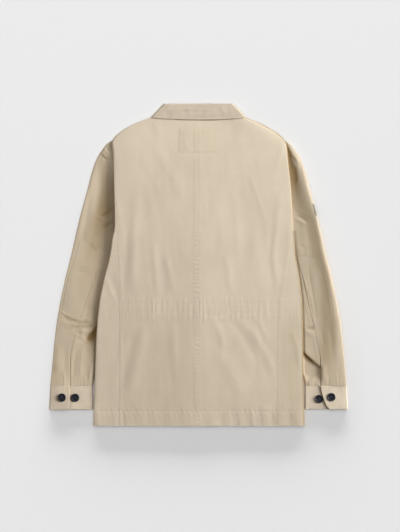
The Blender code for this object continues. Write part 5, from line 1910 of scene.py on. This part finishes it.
class JacketSettings(bpy.types.PropertyGroup):
    cloth_thickness: FloatProperty(
        name="Cloth", description="Thickness of one ply of twill", default=0.0012, min=0.0005,
        max=0.003, unit="LENGTH")
    cuff_thickness: FloatProperty(
        name="Cuff", description="Thickness of the doubled cuff", default=0.0020, min=0.001,
        max=0.004, unit="LENGTH")
    collar_thickness: FloatProperty(
        name="Collar", description="Thickness of the collar's leaf", default=0.0016, min=0.001,
        max=0.004, unit="LENGTH")
    trim_thickness: FloatProperty(
        name="Patches", description="Thickness of the elbow patches", default=0.0008, min=0.0004,
        max=0.002, unit="LENGTH")
    stitch_pitch: FloatProperty(
        name="Stitch", description="Distance from one stitch to the next", default=0.0031,
        min=0.001, max=0.01, unit="LENGTH")
    grid_pitch: FloatProperty(
        name="Grid", description="Distance between points on panels that show, in mm",
        default=2.6, min=1.0, max=12.0)
    hidden_pitch: FloatProperty(
        name="Hidden Grid", description="Distance between points on hidden panels, in mm",
        default=5.0, min=1.0, max=20.0)
    twill_colour: FloatVectorProperty(
        name="Twill", description="Colour of the cloth", subtype="COLOR",
        default=(0.650, 0.545, 0.419), min=0.0, max=1.0)
    thread_colour: FloatVectorProperty(
        name="Thread", description="Colour of the topstitching", subtype="COLOR",
        default=(0.60, 0.50, 0.37), min=0.0, max=1.0)
    button_colour: FloatVectorProperty(
        name="Buttons", description="Colour of the buttons", subtype="COLOR",
        default=(0.010, 0.012, 0.018), min=0.0, max=1.0)
    badge_colour: FloatVectorProperty(
        name="Badge", description="Colour of the plain badge", subtype="COLOR",
        default=(0.22, 0.20, 0.14), min=0.0, max=1.0)


class JacketStage(bpy.types.PropertyGroup):
    floor_colour: FloatVectorProperty(
        name="Floor", description="Colour of the paper floor", subtype="COLOR",
        default=(0.73, 0.73, 0.73), min=0.0, max=1.0)
    left_light: FloatProperty(
        name="Left Light", description="What the left light adds to a level surface",
        default=0.12, min=0.0)
    right_light: FloatProperty(
        name="Right Light", description="What the right light adds to a level surface",
        default=1.80, min=0.0)
    edge_light: FloatProperty(
        name="Edge Light", description="What the low left light adds to a level surface",
        default=0.09, min=0.0)
    floor_light: FloatProperty(
        name="Ceiling Light", description="What the ceiling light adds to the floor",
        default=2.06, min=0.0)
    low_light: FloatProperty(
        name="Floor Sweep", description="Power of the low light far beyond the collar",
        default=18200.0, min=0.0, unit="POWER")
    upper_light: FloatProperty(
        name="Upper Panel", description="Power of the panel above the collar", default=11.0,
        min=0.0, unit="POWER")
    ambient: FloatProperty(
        name="Ambient", description="Strength of the even light all round", default=0.12, min=0.0)
    lens: FloatProperty(
        name="Lens", description="Focal length of the camera, in mm", default=117.5, min=20.0,
        max=400.0)


CLASSES = (JacketSettings, JacketStage, JACKET_OT_body, JACKET_OT_inside_tapes,
           JACKET_OT_sleeves, JACKET_OT_patches, JACKET_OT_cuffs, JACKET_OT_collar,
           JACKET_OT_buttons, JACKET_OT_stitching, JACKET_OT_stage)
STEPS = ("stage", "body", "inside_tapes", "sleeves", "patches", "cuffs", "collar", "buttons",
         "stitching")


class VIEW3D_PT_jacket(bpy.types.Panel):
    bl_label = "Safari Jacket"
    bl_idname = "VIEW3D_PT_jacket"
    bl_space_type = "VIEW_3D"
    bl_region_type = "UI"
    bl_category = "Jacket"

    def draw(self, context):
        layout = self.layout
        for group in (context.scene.jacket, context.scene.jacket_stage):
            column_box = layout.box()
            for name in group.__annotations__:
                column_box.prop(group, name)
        for step in STEPS:
            layout.operator("jacket." + step)


def register():
    for cls in CLASSES + (VIEW3D_PT_jacket,):
        bpy.utils.register_class(cls)
    bpy.types.Scene.jacket = PointerProperty(type=JacketSettings)
    bpy.types.Scene.jacket_stage = PointerProperty(type=JacketStage)


def unregister():
    del bpy.types.Scene.jacket
    del bpy.types.Scene.jacket_stage
    for cls in reversed(CLASSES + (VIEW3D_PT_jacket,)):
        bpy.utils.unregister_class(cls)


def main():
    register()
    for step in STEPS:
        getattr(bpy.ops.jacket, step)()


if __name__ == "__main__":
    main()
